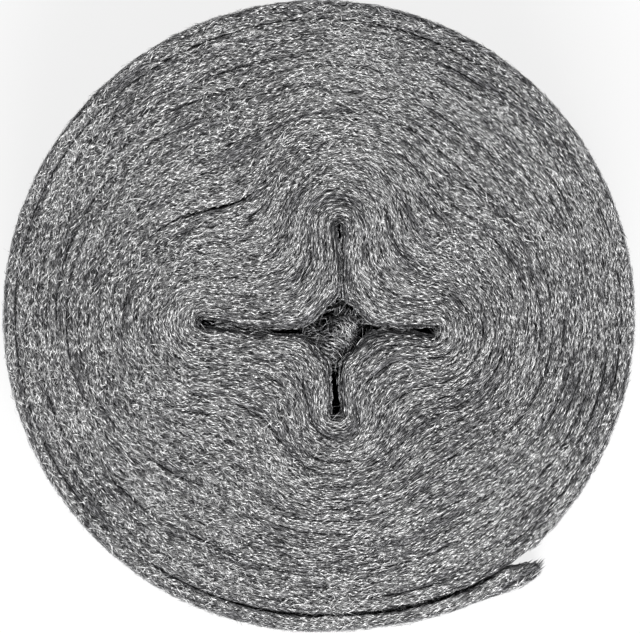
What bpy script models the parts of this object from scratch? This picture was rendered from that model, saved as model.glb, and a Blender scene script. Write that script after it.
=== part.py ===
"""A roll of coarse steel wool: one long ribbon wound about a crushed, star-shaped hollow.

Units are metres and +Z is up. The roll stands on one end face, with its winding axis upright.
Its plan is worked out about the middle of the hollow, where the four slits meet, and is then
moved so that the middle of the finished roll is at the origin.

A place along the ribbon is its turn number: 0 at the inner end, TURNS at the outer end, whole
numbers at the seam, the direction in which both ends lie. The line between two turns is one
spiral, used twice: for the outer face of the turn inside it and the inner face of the turn
outside it, with the gap between them.
"""

import math

import bmesh
import bpy
import numpy as np

# The roll and its ribbon.
ROLL_DIAMETER = 0.220
RIBBON_WIDTH = 0.100
TURNS = 17
TURN_GAP = 0.0003

# The hollow: where its slits meet, from the middle of the roll, and how round its lobes are.
HOLLOW_PLACE = (0.0067, -0.0049)
HOLLOW_REACH = 0.0009
HOLLOW_RADIUS = 0.022
LOBE_ROUNDING = 0.0045
INNER_ROUNDING = 0.0029
ROUNDING_DEPTH = 0.006

# Each slit: its direction in degrees, its length, how fast turns build up beside it, its half
# width midway and at its end, and how far it bows to the left of its direction.
SLITS = (
    (359.4, 0.0333, 0.745, 0.0004, 0.0016, 0.0008),
    (89.5, 0.0368, 0.987, 0.0004, 0.0011, -0.0008),
    (176.6, 0.0474, 0.564, 0.0008, 0.0015, 0.0018),
    (269.3, 0.0293, 1.007, 0.0017, 0.0022, -0.0010),
)
SLIT_MOUTH = 0.007
SLIT_CLOSING = 0.007
SLIT_END = 0.009
SETTLING_DEPTH = 0.006
BOW_DEPTH = 0.012

# The seam, where the ribbon begins and ends, and the stretch over which a turn steps past it.
SEAM_DIRECTION = 310.4
STEP_SPAN = 40.0
ROUND_TURNS = 6

# The inner end thins over this share of the step.
INNER_TAPER = 0.7

# The free outer end of the ribbon: how many degrees of each face stand off, and how far.
TAIL_OUTER_SPAN = 15.0
TAIL_OUTER_LIFT = 0.0036
TAIL_INNER_SPAN = 7.5
TAIL_INNER_LIFT = 0.0045

# Loose places, seen as creases: first and last direction, line between turns, greatest width.
CREASES = (
    (118.0, 154.0, 7, 0.0009),
    (236.0, 310.0, TURNS - 1, 0.0010),
    (266.0, 310.0, TURNS - 1, 0.0013),
)

# The tuft: the ribbon's inner end, balled up in the hollow below the upper end face.
# Each lump: its plan place from the middle of the hollow, radius, half height, depth of its top.
TUFT_LUMPS = (
    ((0.0019, 0.0002), 0.0054, 0.014, 0.0030),
    ((-0.0025, -0.0062), 0.0049, 0.013, 0.0040),
    ((-0.0086, -0.0033), 0.0031, 0.011, 0.0055),
    ((0.0035, -0.0055), 0.0044, 0.014, 0.0070),
)

# How finely the turns are drawn.
LONGEST_STEP = 0.024
LARGEST_BEND = 13.0
TRIAL_RAYS = 1440
TRIAL_CROWDING = 0.93
BISECTIONS = 44
WELD = 0.00001

NODE_NAME = "steel_wool_ribbon"
COLLECTION_NAME = "steel_wool_roll"


def smooth_step(x):
    """Goes from 0 to 1 without a corner as x goes from 0 to 1."""
    t = np.clip(x, 0.0, 1.0)
    return t * t * (3.0 - 2.0 * t)


def clear_objects():
    """Removes what the file already holds."""
    for thing in list(bpy.data.objects):
        bpy.data.objects.remove(thing, do_unlink=True)


def mean_thickness():
    """Mean thickness of a turn."""
    return (0.5 * ROLL_DIAMETER - HOLLOW_RADIUS) / TURNS


def slit_distance(x, y, direction, length):
    """Distance of each point to a slit, which runs straight out from the middle of the hollow."""
    end_x = length * math.cos(math.radians(direction))
    end_y = length * math.sin(math.radians(direction))
    along = np.clip((x * end_x + y * end_y) / length ** 2, 0.0, 1.0)
    return np.hypot(x - along * end_x, y - along * end_y)


def reach(x, y):
    """How far out in the winding a point is: a rounded least distance to the four slits."""
    distances = np.stack([slit[2] * slit_distance(x, y, slit[0], slit[1]) for slit in SLITS])
    least = distances.min(axis=0)
    tightness = np.exp(-least / ROUNDING_DEPTH)
    rounding = LOBE_ROUNDING + (INNER_ROUNDING - LOBE_ROUNDING) * tightness
    spread = np.exp(-(distances - least) / rounding).sum(axis=0)
    return least - rounding * np.log(spread)


def rim_radius(angle):
    """Distance from the middle of the hollow to the roll's round rim, in radians of angle."""
    offset_x, offset_y = HOLLOW_PLACE
    across = -(offset_x * np.cos(angle) + offset_y * np.sin(angle))
    return across + np.sqrt((0.5 * ROLL_DIAMETER) ** 2
                            - offset_x ** 2 - offset_y ** 2 + across ** 2)


def winding_radius(angle, share):
    """Distance from the middle of the hollow at which a given share of the turns lies inside.

    The reach grows evenly from the hollow's edge to the rim along each ray, so the radius is
    found by halving. Past the rim it goes on at the mean thickness of a turn.
    """
    rim = rim_radius(angle)
    rim_reach = reach(rim * np.cos(angle), rim * np.sin(angle))
    wanted = HOLLOW_REACH + (rim_reach - HOLLOW_REACH) * np.minimum(share, 1.0)
    low = np.zeros_like(rim)
    high = rim.copy()
    for _ in range(BISECTIONS):
        middle = 0.5 * (low + high)
        inside = reach(middle * np.cos(angle), middle * np.sin(angle)) < wanted
        low = np.where(inside, middle, low)
        high = np.where(inside, high, middle)
    return 0.5 * (low + high) + np.maximum(share - 1.0, 0.0) * TURNS * mean_thickness()


def first_width(direction, length, along):
    """Half width of the hollow along a slit, before the slit is pressed to its own width."""
    turns = np.linspace(1.0, 0.0, TRIAL_RAYS) ** 2 * 0.25 * math.pi
    radius = winding_radius(math.radians(direction) + turns, np.zeros_like(turns))
    return np.interp(along, radius * np.cos(turns), radius * np.sin(turns))


def settled(points):
    """Presses the slits to their own widths and bows, and the turns beside them with them.

    Across each slit the points move by the change of its half width, less and less with
    distance, and the whole of its surroundings shifts sideways by the bow.
    """
    moved = points.copy()
    for direction, length, weight, middle_width, end_width, bow in SLITS:
        way = np.array((math.cos(math.radians(direction)), math.sin(math.radians(direction))))
        side = np.array((-way[1], way[0]))
        along = points @ way
        across = points @ side
        end = smooth_step((along - length + SLIT_END) / SLIT_END)
        wanted = middle_width + (end_width - middle_width) * end
        before_end = np.minimum(along, length)
        change = wanted - first_width(direction, length, before_end)
        change = change * smooth_step((along - SLIT_MOUTH) / SLIT_CLOSING)
        past_end = np.maximum(along - length, 0.0)
        change = change * np.exp(-(np.abs(across) + past_end) / SETTLING_DEPTH)
        outward = across / np.hypot(across, 0.5 * HOLLOW_REACH)
        arch = np.sin(math.pi * np.clip(along / length, 0.0, 1.0))
        sideways = outward * change + bow * arch * np.exp(-(across / BOW_DEPTH) ** 2)
        moved += sideways[:, None] * side
    return moved


def turn_share(turn, part):
    """Share of the winding inside the line that starts a turn, part of the way round it.

    In the middle of the roll the line is an even spiral. Near the hollow and the rim it keeps
    its distance and makes its step close to the seam, because the wool is pressed flat there.
    The line before the first is the edge of the hollow, along which the inner end tapers.
    """
    if turn < 0:
        return np.zeros_like(part)
    to_end = min(turn, TURNS - turn)
    pressed = max(0.0, 1.0 - to_end / ROUND_TURNS)
    step = smooth_step(1.0 - (1.0 - part) * 360.0 / STEP_SPAN)
    return (turn + (1.0 - pressed) * part + pressed * step) / TURNS


def trial_parts():
    """Many places round a turn, as parts of it from the seam, crowded at the slits."""
    steps = TRIAL_RAYS // len(SLITS)
    even = np.arange(steps) / steps
    eased = even - TRIAL_CROWDING * np.sin(2.0 * math.pi * even) / (2.0 * math.pi)
    starts = np.array([slit[0] for slit in SLITS])
    spans = (np.roll(starts, -1) - starts) % 360.0
    angles = (starts[:, None] + spans[:, None] * eased[None, :]).ravel()
    parts = np.sort(((angles - SEAM_DIRECTION) % 360.0) / 360.0)
    return np.concatenate(([0.0], parts[(parts > 0.0) & (parts < 1.0)], [1.0]))


def turn_parts(turn):
    """Where the points of one line are, as parts of a turn from the seam, 1 itself left out.

    They are spaced so that no side is long and no corner sharp: evenly in the sum of the
    line's length and its bends.
    """
    parts = trial_parts()
    points = line_points(turn, parts, 0.0)
    sides = np.diff(points, axis=0)
    lengths = np.hypot(sides[:, 0], sides[:, 1])
    headings = np.unwrap(np.arctan2(sides[:, 1], sides[:, 0]))
    bends = np.abs(np.gradient(headings))
    effort = lengths / LONGEST_STEP + bends / math.radians(LARGEST_BEND)
    total = np.concatenate(([0.0], np.cumsum(effort)))
    count = math.ceil(total[-1])
    return np.interp(np.arange(count) * total[-1] / count, total, parts)


def crease_gap(turn, part):
    """Extra gap between two turns, which opens and closes along each crease."""
    gap = np.zeros_like(part)
    for first, last, line, width in CREASES:
        start = ((first - SEAM_DIRECTION) % 360.0) / 360.0
        end = ((last - SEAM_DIRECTION) % 360.0) / 360.0
        along = np.clip((part - start) / (end - start), 0.0, 1.0)
        gap = gap + (width - TURN_GAP) * np.sin(math.pi * along) ** 2 * (turn == line)
    return gap


def line_points(turn, parts, side):
    """Points of a line between turns, or of the face on one side of it: -1 inside, 1 outside."""
    angle = np.radians(SEAM_DIRECTION + 360.0 * parts)
    share = turn_share(turn, parts)
    if turn < TURNS:
        gap = TURN_GAP + crease_gap(turn, parts)
        share = share + side * 0.5 * gap / mean_thickness() / TURNS
    radius = winding_radius(angle, share) + tail_offset(turn, parts, side)
    return settled(np.column_stack((radius * np.cos(angle), radius * np.sin(angle))))


def tail_offset(turn, parts, side):
    """How far a face of the ribbon's free end stands off its place in the winding."""
    to_end = (1.0 - parts) * 360.0
    if turn == TURNS and side < 0:
        return TAIL_OUTER_LIFT * smooth_step(1.0 - to_end / TAIL_OUTER_SPAN)
    if turn == TURNS - 1 and side > 0:
        return TAIL_INNER_LIFT * smooth_step(1.0 - to_end / TAIL_INNER_SPAN)
    return 0.0


def ribbon_outline():
    """The ribbon seen on edge: out along its inner face and back along its outer face."""
    lines = [turn_parts(turn) for turn in range(TURNS + 1)]
    taper_start = 1.0 - INNER_TAPER * STEP_SPAN / 360.0
    taper = np.concatenate(([taper_start], lines[0][lines[0] > taper_start + 0.01]))
    inner_face = [line_points(-1, taper, 1)]
    outer_face = [line_points(0, taper, -1)]
    for turn in range(TURNS):
        inner_face.append(line_points(turn, lines[turn], 1))
        outer_face.append(line_points(turn + 1, lines[turn + 1], -1))
    last = np.array([1.0])
    inner_face.append(line_points(TURNS - 1, last, 1))
    outer_face.append(line_points(TURNS, last, -1))
    return np.vstack(inner_face + [np.vstack(outer_face)[::-1]])


def plan_middle(outline):
    """Middle of the plan's bounding box."""
    return 0.5 * (outline.min(axis=0) + outline.max(axis=0))


def make_material():
    """Bare grey steel, dull because the wool's strands face every way."""
    material = bpy.data.materials.new("steel_wool")
    material.use_nodes = True
    shader = material.node_tree.nodes["Principled BSDF"]
    shader.inputs["Base Color"].default_value = (0.23, 0.23, 0.23, 1.0)
    shader.inputs["Metallic"].default_value = 1.0
    shader.inputs["Roughness"].default_value = 0.45
    return material


def make_collection(name, hidden=False):
    """A collection in the scene, for finished parts or for hidden helpers."""
    collection = bpy.data.collections.new(name)
    bpy.context.scene.collection.children.link(collection)
    collection.hide_render = hidden
    return collection


def extruded_outline(name, outline, height, collection):
    """A flat outline given its height as a filled 2D curve, then made a welded mesh."""
    curve = bpy.data.curves.new(name, "CURVE")
    curve.dimensions = "2D"
    curve.fill_mode = "BOTH"
    curve.extrude = 0.5 * height
    spline = curve.splines.new("POLY")
    spline.points.add(len(outline) - 1)
    flat = np.column_stack((outline, np.zeros(len(outline)), np.ones(len(outline))))
    spline.points.foreach_set("co", flat.ravel())
    spline.use_cyclic_u = True
    drawn = bpy.data.objects.new(name + "_outline", curve)
    drawn.location.z = 0.5 * height
    collection.objects.link(drawn)
    bpy.context.view_layer.update()
    evaluated = drawn.evaluated_get(bpy.context.evaluated_depsgraph_get())
    mesh = bpy.data.meshes.new_from_object(evaluated)
    mesh.name = name
    weld_mesh(mesh)
    body = bpy.data.objects.new(name, mesh)
    body.matrix_world = drawn.matrix_world
    collection.objects.link(body)
    bpy.data.objects.remove(drawn, do_unlink=True)
    return body


def weld_mesh(mesh):
    """Joins a curve's loose caps to its sides and turns every face outwards."""
    work = bmesh.new()
    work.from_mesh(mesh)
    bmesh.ops.remove_doubles(work, verts=work.verts, dist=WELD)
    bmesh.ops.recalc_face_normals(work, faces=work.faces)
    work.to_mesh(mesh)
    work.free()


def make_lump(index, lump, middle, collection):
    """One rounded lump of the tuft, upright and longer than it is wide."""
    (place_x, place_y), radius, half_height, depth = lump
    mesh = bpy.data.meshes.new("tuft_lump_%d" % index)
    work = bmesh.new()
    bmesh.ops.create_uvsphere(work, u_segments=14, v_segments=8, radius=1.0)
    bmesh.ops.scale(work, vec=(radius, radius, half_height), verts=work.verts)
    bmesh.ops.recalc_face_normals(work, faces=work.faces)
    work.to_mesh(mesh)
    work.free()
    helper = bpy.data.objects.new(mesh.name, mesh)
    helper.location = (place_x - middle[0], place_y - middle[1],
                       RIBBON_WIDTH - depth - half_height)
    helper.rotation_euler.z = 0.37 * (index + 1)
    helper.hide_render = True
    helper.display_type = "WIRE"
    collection.objects.link(helper)
    return helper


def join_lump(body, helper):
    """Unites a lump of the tuft with the ribbon, so that they are one body."""
    union = body.modifiers.new(helper.name, "BOOLEAN")
    union.operation = "UNION"
    union.solver = "EXACT"
    union.object = helper


def main():
    """Builds the roll."""
    clear_objects()
    parts = make_collection(COLLECTION_NAME)
    helpers = make_collection("tuft_lumps", hidden=True)
    outline = ribbon_outline()
    middle = plan_middle(outline)
    ribbon = extruded_outline(NODE_NAME, outline - middle, RIBBON_WIDTH, parts)
    ribbon.data.materials.append(make_material())
    for index, lump in enumerate(TUFT_LUMPS):
        join_lump(ribbon, make_lump(index, lump, middle, helpers))


main()
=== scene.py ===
"""Looks of a roll of coarse steel wool, seen from above as it lies on one end face.

The roll is one long ribbon of tangled steel strands, wound about a crushed, star-shaped
hollow. Here the ribbon is a soft-edged band that follows the winding, and thousands of bent
strands lie over its faces along the way that the ribbon runs. Lengths are in metres.
"""

from __future__ import annotations

import logging
import math
from dataclasses import dataclass, field
from enum import Enum
from typing import ClassVar, Optional

import bpy
import numpy as np
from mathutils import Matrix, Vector

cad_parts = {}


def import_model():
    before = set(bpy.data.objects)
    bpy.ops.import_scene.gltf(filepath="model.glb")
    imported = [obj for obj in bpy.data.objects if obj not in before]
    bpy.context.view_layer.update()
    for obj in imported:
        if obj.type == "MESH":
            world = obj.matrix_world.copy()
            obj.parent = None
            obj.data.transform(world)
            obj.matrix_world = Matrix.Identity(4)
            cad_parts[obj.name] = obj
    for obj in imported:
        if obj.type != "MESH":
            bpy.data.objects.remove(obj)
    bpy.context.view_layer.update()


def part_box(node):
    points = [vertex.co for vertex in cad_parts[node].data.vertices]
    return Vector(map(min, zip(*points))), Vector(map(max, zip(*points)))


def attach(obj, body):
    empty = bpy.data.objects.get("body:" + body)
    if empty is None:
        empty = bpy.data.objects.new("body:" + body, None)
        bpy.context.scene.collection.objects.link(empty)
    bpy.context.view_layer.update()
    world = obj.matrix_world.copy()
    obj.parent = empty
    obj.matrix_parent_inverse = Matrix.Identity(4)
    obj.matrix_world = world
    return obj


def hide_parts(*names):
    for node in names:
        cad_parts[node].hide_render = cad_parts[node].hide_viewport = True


LOG = logging.getLogger("steel_wool_roll")

RIBBON_NODE = "steel_wool_ribbon"
BODY = "root"
MILLIMETRE = 0.001

# The strands of coarse steel wool are about 0.1 mm thick. They are drawn coarser and fewer,
# mostly 0.25 mm to 0.4 mm across at their thickest, because the photograph shows the roll at
# three pixels to the millimetre, where the real ones would run together to an even grey.
# TONE_CHANGE is how much a strand's tone changes along it, as its faces turn to the light.
TONE_CHANGE = 0.25
# How far the angle of that change goes on from strand to strand and from ring to ring.
GLINT_STEPS = (13.7, 2.4)
# How far a sliver's lowest edge lies below its tips, as a share of its radius.
SLIVER_DEPTH = 0.6
# How strongly the strands of a family that gathers do so where the shade is bright.
GATHERING = 1.1
# A family's lengths, radii and tones: how widely they spread, and the least and the most.
LENGTH_SPREAD, LENGTH_RANGE = 0.38, (0.5, 2.5)
RADIUS_SPREAD, RADIUS_RANGE = 0.28, (0.5, 2.0)
TONE_RANGE = (0.0, 1.25)

# How high strands arch, as a share of their lift: the middle and the spread of a bell.
ARCH = (0.4, 0.6)
# How far away the lower end face's relief is looked up, so that it differs from the upper's.
LOWER_RELIEF_AWAY = 1.0

# Corners along each side of the lattice of a value noise, past which it repeats.
LATTICE = 64
# Halvings of a span in the search for a distance, and places round a line or the rim.
HALVINGS = 40
PLACES_ROUND = 2881

# The photograph's frame: its size, the roll's middle in it and how far across the roll is.
PHOTO_WIDTH_PX = 640
PHOTO_HEIGHT_PX = 633
ROLL_MIDDLE_PX = (319.0, 316.0)
ROLL_ACROSS_PX = 628.0


class EndFace(Enum):
    """An end face of the roll, by the side that it looks to."""

    UPPER = 1
    LOWER = -1


class Side(Enum):
    """The side of a line between two turns on which a face of the ribbon lies."""

    INSIDE = -1
    ON_LINE = 0
    OUTSIDE = 1


class Noise(Enum):
    """What each value noise is for, with the seed that picks its random values."""

    CLUMPS = 11
    GROOVES = 12
    SWELL = 13
    WALLS = 21
    CLOSE_PATCHES = 31
    WIDE_PATCHES = 32
    THIN_STREAKS = 33
    RUFFLES = 34
    WIDE_STREAKS = 35
    LINES = 36
    WANDER = 37
    FOLDS = 41
    BUNDLES = 42


# ---- Shared arithmetic


def smooth_step(x: np.ndarray) -> np.ndarray:
    """Goes from 0 to 1 without a corner as x goes from 0 to 1."""
    t = np.clip(x, 0.0, 1.0)
    return t * t * (3.0 - 2.0 * t)


def value_noise(x: np.ndarray, y: np.ndarray, cell: float, noise: Noise) -> np.ndarray:
    """Smooth random heights: random values on a square lattice, eased between its corners.

    Args:
        x: first coordinate of each place.
        y: second coordinate of each place.
        cell: side of a lattice square.
        noise: what the noise is for, which picks the random values.

    Returns:
        A number from -1 to 1 for each place.
    """
    lattice = np.random.default_rng(noise.value).uniform(-1.0, 1.0, (LATTICE, LATTICE))
    column = np.floor(x / cell).astype(int)
    row = np.floor(y / cell).astype(int)
    right = smooth_step(x / cell - column)
    upper = smooth_step(y / cell - row)
    here, after = column % LATTICE, (column + 1) % LATTICE
    low, high = row % LATTICE, (row + 1) % LATTICE
    lower_side = lattice[here, low] * (1.0 - right) + lattice[after, low] * right
    upper_side = lattice[here, high] * (1.0 - right) + lattice[after, high] * right
    return lower_side * (1.0 - upper) + upper_side * upper


def unit(vectors: np.ndarray) -> np.ndarray:
    """Vectors along the last axis, each made one long."""
    length = np.linalg.norm(vectors, axis=-1, keepdims=True)
    return vectors / np.maximum(length, 1e-12)


def linear(hex_colour: str) -> tuple[float, float, float, float]:
    """A colour written as sRGB hex, as the linear light that a shader takes.

    Args:
        hex_colour: the colour, as a hash sign and six hex digits.

    Returns:
        Red, green and blue from 0 to 1, and an alpha of 1.
    """
    parts = np.array([int(hex_colour[i:i + 2], 16) for i in (1, 3, 5)]) / 255.0
    low = parts / 12.92
    high = ((parts + 0.055) / 1.055) ** 2.4
    red, green, blue = np.where(parts <= 0.04045, low, high)
    return (float(red), float(green), float(blue), 1.0)


# ---- The winding


@dataclass(frozen=True)
class Slit:
    """One of the hollow's four slits.

    direction is in degrees, and build_up says how fast turns build up beside the slit. The two
    widths are half widths, midway and at the end, and bow is the sideways sag to the left.
    """

    direction: float
    length: float
    build_up: float
    middle_width: float
    end_width: float
    bow: float


@dataclass(frozen=True)
class Crease:
    """A loose place between two turns: its directions, its line and its greatest width."""

    first: float
    last: float
    line: int
    width: float


@dataclass
class Winding:
    """The plan of the roll: a spiral of turns about the slits, with the part's own values.

    A line between two turns is named by the turn that it starts, and a place on it by the part
    of a turn from the seam. Plan points are about the middle of the hollow until placed().
    """

    diameter: float = 0.220
    turns: int = 17
    gap: float = 0.0003
    hollow_place: tuple[float, float] = (0.0067, -0.0049)
    hollow_reach: float = 0.0009
    hollow_radius: float = 0.022
    lobe_rounding: float = 0.0045
    inner_rounding: float = 0.0029
    rounding_depth: float = 0.006
    slit_mouth: float = 0.007
    slit_closing: float = 0.007
    slit_end: float = 0.009
    settling_depth: float = 0.006
    bow_depth: float = 0.012
    seam: float = 310.4
    step_span: float = 40.0
    round_turns: int = 6
    inner_taper: float = 0.7
    tail_outer_span: float = 15.0
    tail_outer_lift: float = 0.0036
    tail_inner_span: float = 7.5
    tail_inner_lift: float = 0.0045
    slit_rays: int = 1440
    trial_rays: int = 360
    trial_crowding: float = 0.93
    slits: tuple[Slit, ...] = (
        Slit(359.4, 0.0333, 0.745, 0.0004, 0.0016, 0.0008),
        Slit(89.5, 0.0368, 0.987, 0.0004, 0.0011, -0.0008),
        Slit(176.6, 0.0474, 0.564, 0.0008, 0.0015, 0.0018),
        Slit(269.3, 0.0293, 1.007, 0.0017, 0.0022, -0.0010),
    )
    creases: tuple[Crease, ...] = (
        Crease(118.0, 154.0, 7, 0.0009),
        Crease(236.0, 310.0, 16, 0.0010),
        Crease(266.0, 310.0, 16, 0.0013),
    )
    middle: np.ndarray = field(init=False)
    first_widths: list[tuple[np.ndarray, np.ndarray]] = field(init=False)

    def __post_init__(self) -> None:
        """Works out what every later call needs: the slits' first widths and the middle."""
        self.first_widths = [self.first_width(slit) for slit in self.slits]
        rim = self.line(self.turns, np.linspace(0.0, 1.0, PLACES_ROUND), Side.INSIDE)
        self.middle = 0.5 * (rim.min(axis=0) + rim.max(axis=0))

    @property
    def thickness(self) -> float:
        """Mean thickness of a turn."""
        return (0.5 * self.diameter - self.hollow_radius) / self.turns

    def part_of(self, direction: float | np.ndarray) -> float | np.ndarray:
        """Part of a turn from the seam to a direction in degrees."""
        return ((direction - self.seam) % 360.0) / 360.0

    def depth_at(self, share: np.ndarray) -> np.ndarray:
        """Thickness of wool between the hollow and places with a share of the winding."""
        return share * self.turns * self.thickness

    def reach(self, x: np.ndarray, y: np.ndarray) -> np.ndarray:
        """How far out in the winding each point is.

        It is the least of the distances to the four slits, each times its build-up, rounded off
        between slits by a soft minimum that is tighter near the hollow.

        Args:
            x: plan coordinate from the middle of the hollow.
            y: plan coordinate from the middle of the hollow.

        Returns:
            The reach of each point.
        """
        distances = []
        for slit in self.slits:
            end_x = slit.length * math.cos(math.radians(slit.direction))
            end_y = slit.length * math.sin(math.radians(slit.direction))
            along = np.clip((x * end_x + y * end_y) / slit.length ** 2, 0.0, 1.0)
            distances.append(slit.build_up * np.hypot(x - along * end_x, y - along * end_y))
        stack = np.stack(distances)
        least = stack.min(axis=0)
        tightness = np.exp(-least / self.rounding_depth)
        rounding = self.lobe_rounding + (self.inner_rounding - self.lobe_rounding) * tightness
        return least - rounding * np.log(np.exp(-(stack - least) / rounding).sum(axis=0))

    def rim_radius(self, angle: np.ndarray) -> np.ndarray:
        """Distance from the middle of the hollow to the round rim.

        The rim is a circle about the roll's own middle, and the distance solves the quadratic
        for where a ray from the hollow's middle meets it.

        Args:
            angle: direction of each ray, in radians.

        Returns:
            The distance along each ray.
        """
        offset_x, offset_y = self.hollow_place
        across = -(offset_x * np.cos(angle) + offset_y * np.sin(angle))
        inside = (0.5 * self.diameter) ** 2 - offset_x ** 2 - offset_y ** 2
        return across + np.sqrt(inside + across ** 2)

    def share_at(self, x: np.ndarray, y: np.ndarray) -> np.ndarray:
        """Share of the winding inside each point: its reach over the rim's on the same ray.

        Args:
            x: plan coordinate from the middle of the hollow.
            y: plan coordinate from the middle of the hollow.

        Returns:
            The share, 0 at the hollow's edge and 1 at the rim.
        """
        angle = np.arctan2(y, x)
        rim = self.rim_radius(angle)
        rim_reach = self.reach(rim * np.cos(angle), rim * np.sin(angle))
        return (self.reach(x, y) - self.hollow_reach) / (rim_reach - self.hollow_reach)

    def radius(self, angle: np.ndarray, share: np.ndarray) -> np.ndarray:
        """Distance from the middle at which a share of the winding lies inside, by halving.

        Args:
            angle: direction of each ray, in radians.
            share: the share wanted on each ray; past 1 it goes on at the mean thickness.

        Returns:
            The distance along each ray.
        """
        rim = self.rim_radius(angle)
        rim_reach = self.reach(rim * np.cos(angle), rim * np.sin(angle))
        wanted = self.hollow_reach + (rim_reach - self.hollow_reach) * np.minimum(share, 1.0)
        low, high = np.zeros_like(rim), rim.copy()
        for _ in range(HALVINGS):
            middle = 0.5 * (low + high)
            inside = self.reach(middle * np.cos(angle), middle * np.sin(angle)) < wanted
            low = np.where(inside, middle, low)
            high = np.where(inside, high, middle)
        past_rim = np.maximum(share - 1.0, 0.0) * self.turns * self.thickness
        return 0.5 * (low + high) + past_rim

    def first_width(self, slit: Slit) -> tuple[np.ndarray, np.ndarray]:
        """Half width of the hollow along a slit, before the slit is pressed to its own width.

        Args:
            slit: the slit.

        Returns:
            Distances along the slit, and the half width at each.
        """
        turn = np.linspace(1.0, 0.0, self.slit_rays) ** 2 * 0.25 * math.pi
        radius = self.radius(math.radians(slit.direction) + turn, np.zeros_like(turn))
        return radius * np.cos(turn), radius * np.sin(turn)

    def settled(self, points: np.ndarray) -> np.ndarray:
        """Presses the slits to their own widths and bows, and the turns beside them with them.

        Across each slit a point moves by the change of its half width, fading with distance,
        and the whole of its surroundings shifts sideways by the bow.

        Args:
            points: plan points, with x and y on the last axis.

        Returns:
            The moved points, in the same shape.
        """
        moved = points.copy()
        for slit, (width_place, width) in zip(self.slits, self.first_widths):
            turn = math.radians(slit.direction)
            way = np.array((math.cos(turn), math.sin(turn)))
            side = np.array((-way[1], way[0]))
            along, across = points @ way, points @ side
            end = smooth_step((along - slit.length + self.slit_end) / self.slit_end)
            wanted = slit.middle_width + (slit.end_width - slit.middle_width) * end
            before_end = np.minimum(along, slit.length)
            change = wanted - np.interp(before_end, width_place, width)
            change = change * smooth_step((along - self.slit_mouth) / self.slit_closing)
            past_end = np.maximum(along - slit.length, 0.0)
            change = change * np.exp(-(np.abs(across) + past_end) / self.settling_depth)
            outward = across / np.hypot(across, 0.5 * self.hollow_reach)
            arch = np.sin(math.pi * np.clip(along / slit.length, 0.0, 1.0))
            bow = slit.bow * arch * np.exp(-(across / self.bow_depth) ** 2)
            moved = moved + (outward * change + bow)[..., None] * side
        return moved

    def placed(self, points: np.ndarray) -> np.ndarray:
        """Settled plan points moved from the middle of the hollow to the roll's own middle."""
        return self.settled(points) - self.middle

    def turn_share(self, turn: int, part: np.ndarray) -> np.ndarray:
        """Share of the winding inside a line: an even spiral, pressed round at both ends.

        Args:
            turn: the turn that the line starts; the one before 0 is the hollow's edge.
            part: how much of a turn from the seam each place is.

        Returns:
            The share at each place.
        """
        if turn < 0:
            return np.zeros_like(part)
        to_end = min(turn, self.turns - turn)
        pressed = max(0.0, 1.0 - to_end / self.round_turns)
        step = smooth_step(1.0 - (1.0 - part) * 360.0 / self.step_span)
        return (turn + (1.0 - pressed) * part + pressed * step) / self.turns

    def crease_gap(self, turn: int, part: np.ndarray) -> np.ndarray:
        """Extra gap on a line, which opens and closes along each crease as a squared sine.

        Args:
            turn: the turn that the line starts.
            part: part of a turn from the seam to each place.

        Returns:
            The gap at each place beyond the usual one.
        """
        gap = np.zeros_like(part)
        for crease in self.creases:
            if crease.line == turn:
                start, end = self.part_of(crease.first), self.part_of(crease.last)
                along = np.clip((part - start) / (end - start), 0.0, 1.0)
                gap = gap + (crease.width - self.gap) * np.sin(math.pi * along) ** 2
        return gap

    def tail_lift(self, turn: int, part: np.ndarray, side: Side) -> np.ndarray:
        """How far a face of the ribbon's free end stands off its place in the winding.

        Args:
            turn: the turn that the face's line starts.
            part: part of a turn from the seam to each place.
            side: the side of the line that the face is on.

        Returns:
            The distance at each place, eased in along each face's own span.
        """
        to_end = (1.0 - part) * 360.0
        if turn == self.turns and side is Side.INSIDE:
            return self.tail_outer_lift * smooth_step(1.0 - to_end / self.tail_outer_span)
        if turn == self.turns - 1 and side is Side.OUTSIDE:
            return self.tail_inner_lift * smooth_step(1.0 - to_end / self.tail_inner_span)
        return np.zeros_like(part)

    def face_share(self, turn: int, part: np.ndarray, side: Side) -> np.ndarray:
        """Share of the winding at a face of the ribbon, half a gap to one side of its line.

        Args:
            turn: the turn that the face's line starts.
            part: part of a turn from the seam to each place.
            side: the side of the line that the face is on.

        Returns:
            The share at each place.
        """
        share = self.turn_share(turn, part)
        if turn < self.turns:
            gap = self.gap + self.crease_gap(turn, part)
            share = share + side.value * 0.5 * gap / self.thickness / self.turns
        return share

    def angle_of(self, part: np.ndarray) -> np.ndarray:
        """Direction of each part of a turn, in radians."""
        return np.radians(self.seam + 360.0 * part)

    def face_radius(self, turn: int, part: np.ndarray, side: Side) -> np.ndarray:
        """Distance of a face of the ribbon from the middle of the hollow."""
        share = self.face_share(turn, part, side)
        return self.radius(self.angle_of(part), share) + self.tail_lift(turn, part, side)

    def line(self, turn: int, part: np.ndarray, side: Side) -> np.ndarray:
        """Settled points of a line between turns, or of the face on one side of it.

        Args:
            turn: the turn that the line starts.
            part: part of a turn from the seam to each place.
            side: the side of the line that the face is on, or the line itself.

        Returns:
            Plan points about the middle of the hollow.
        """
        angle = self.angle_of(part)
        radius = self.face_radius(turn, part, side)
        plain = np.stack((radius * np.cos(angle), radius * np.sin(angle)), axis=-1)
        return self.settled(plain)

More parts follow.
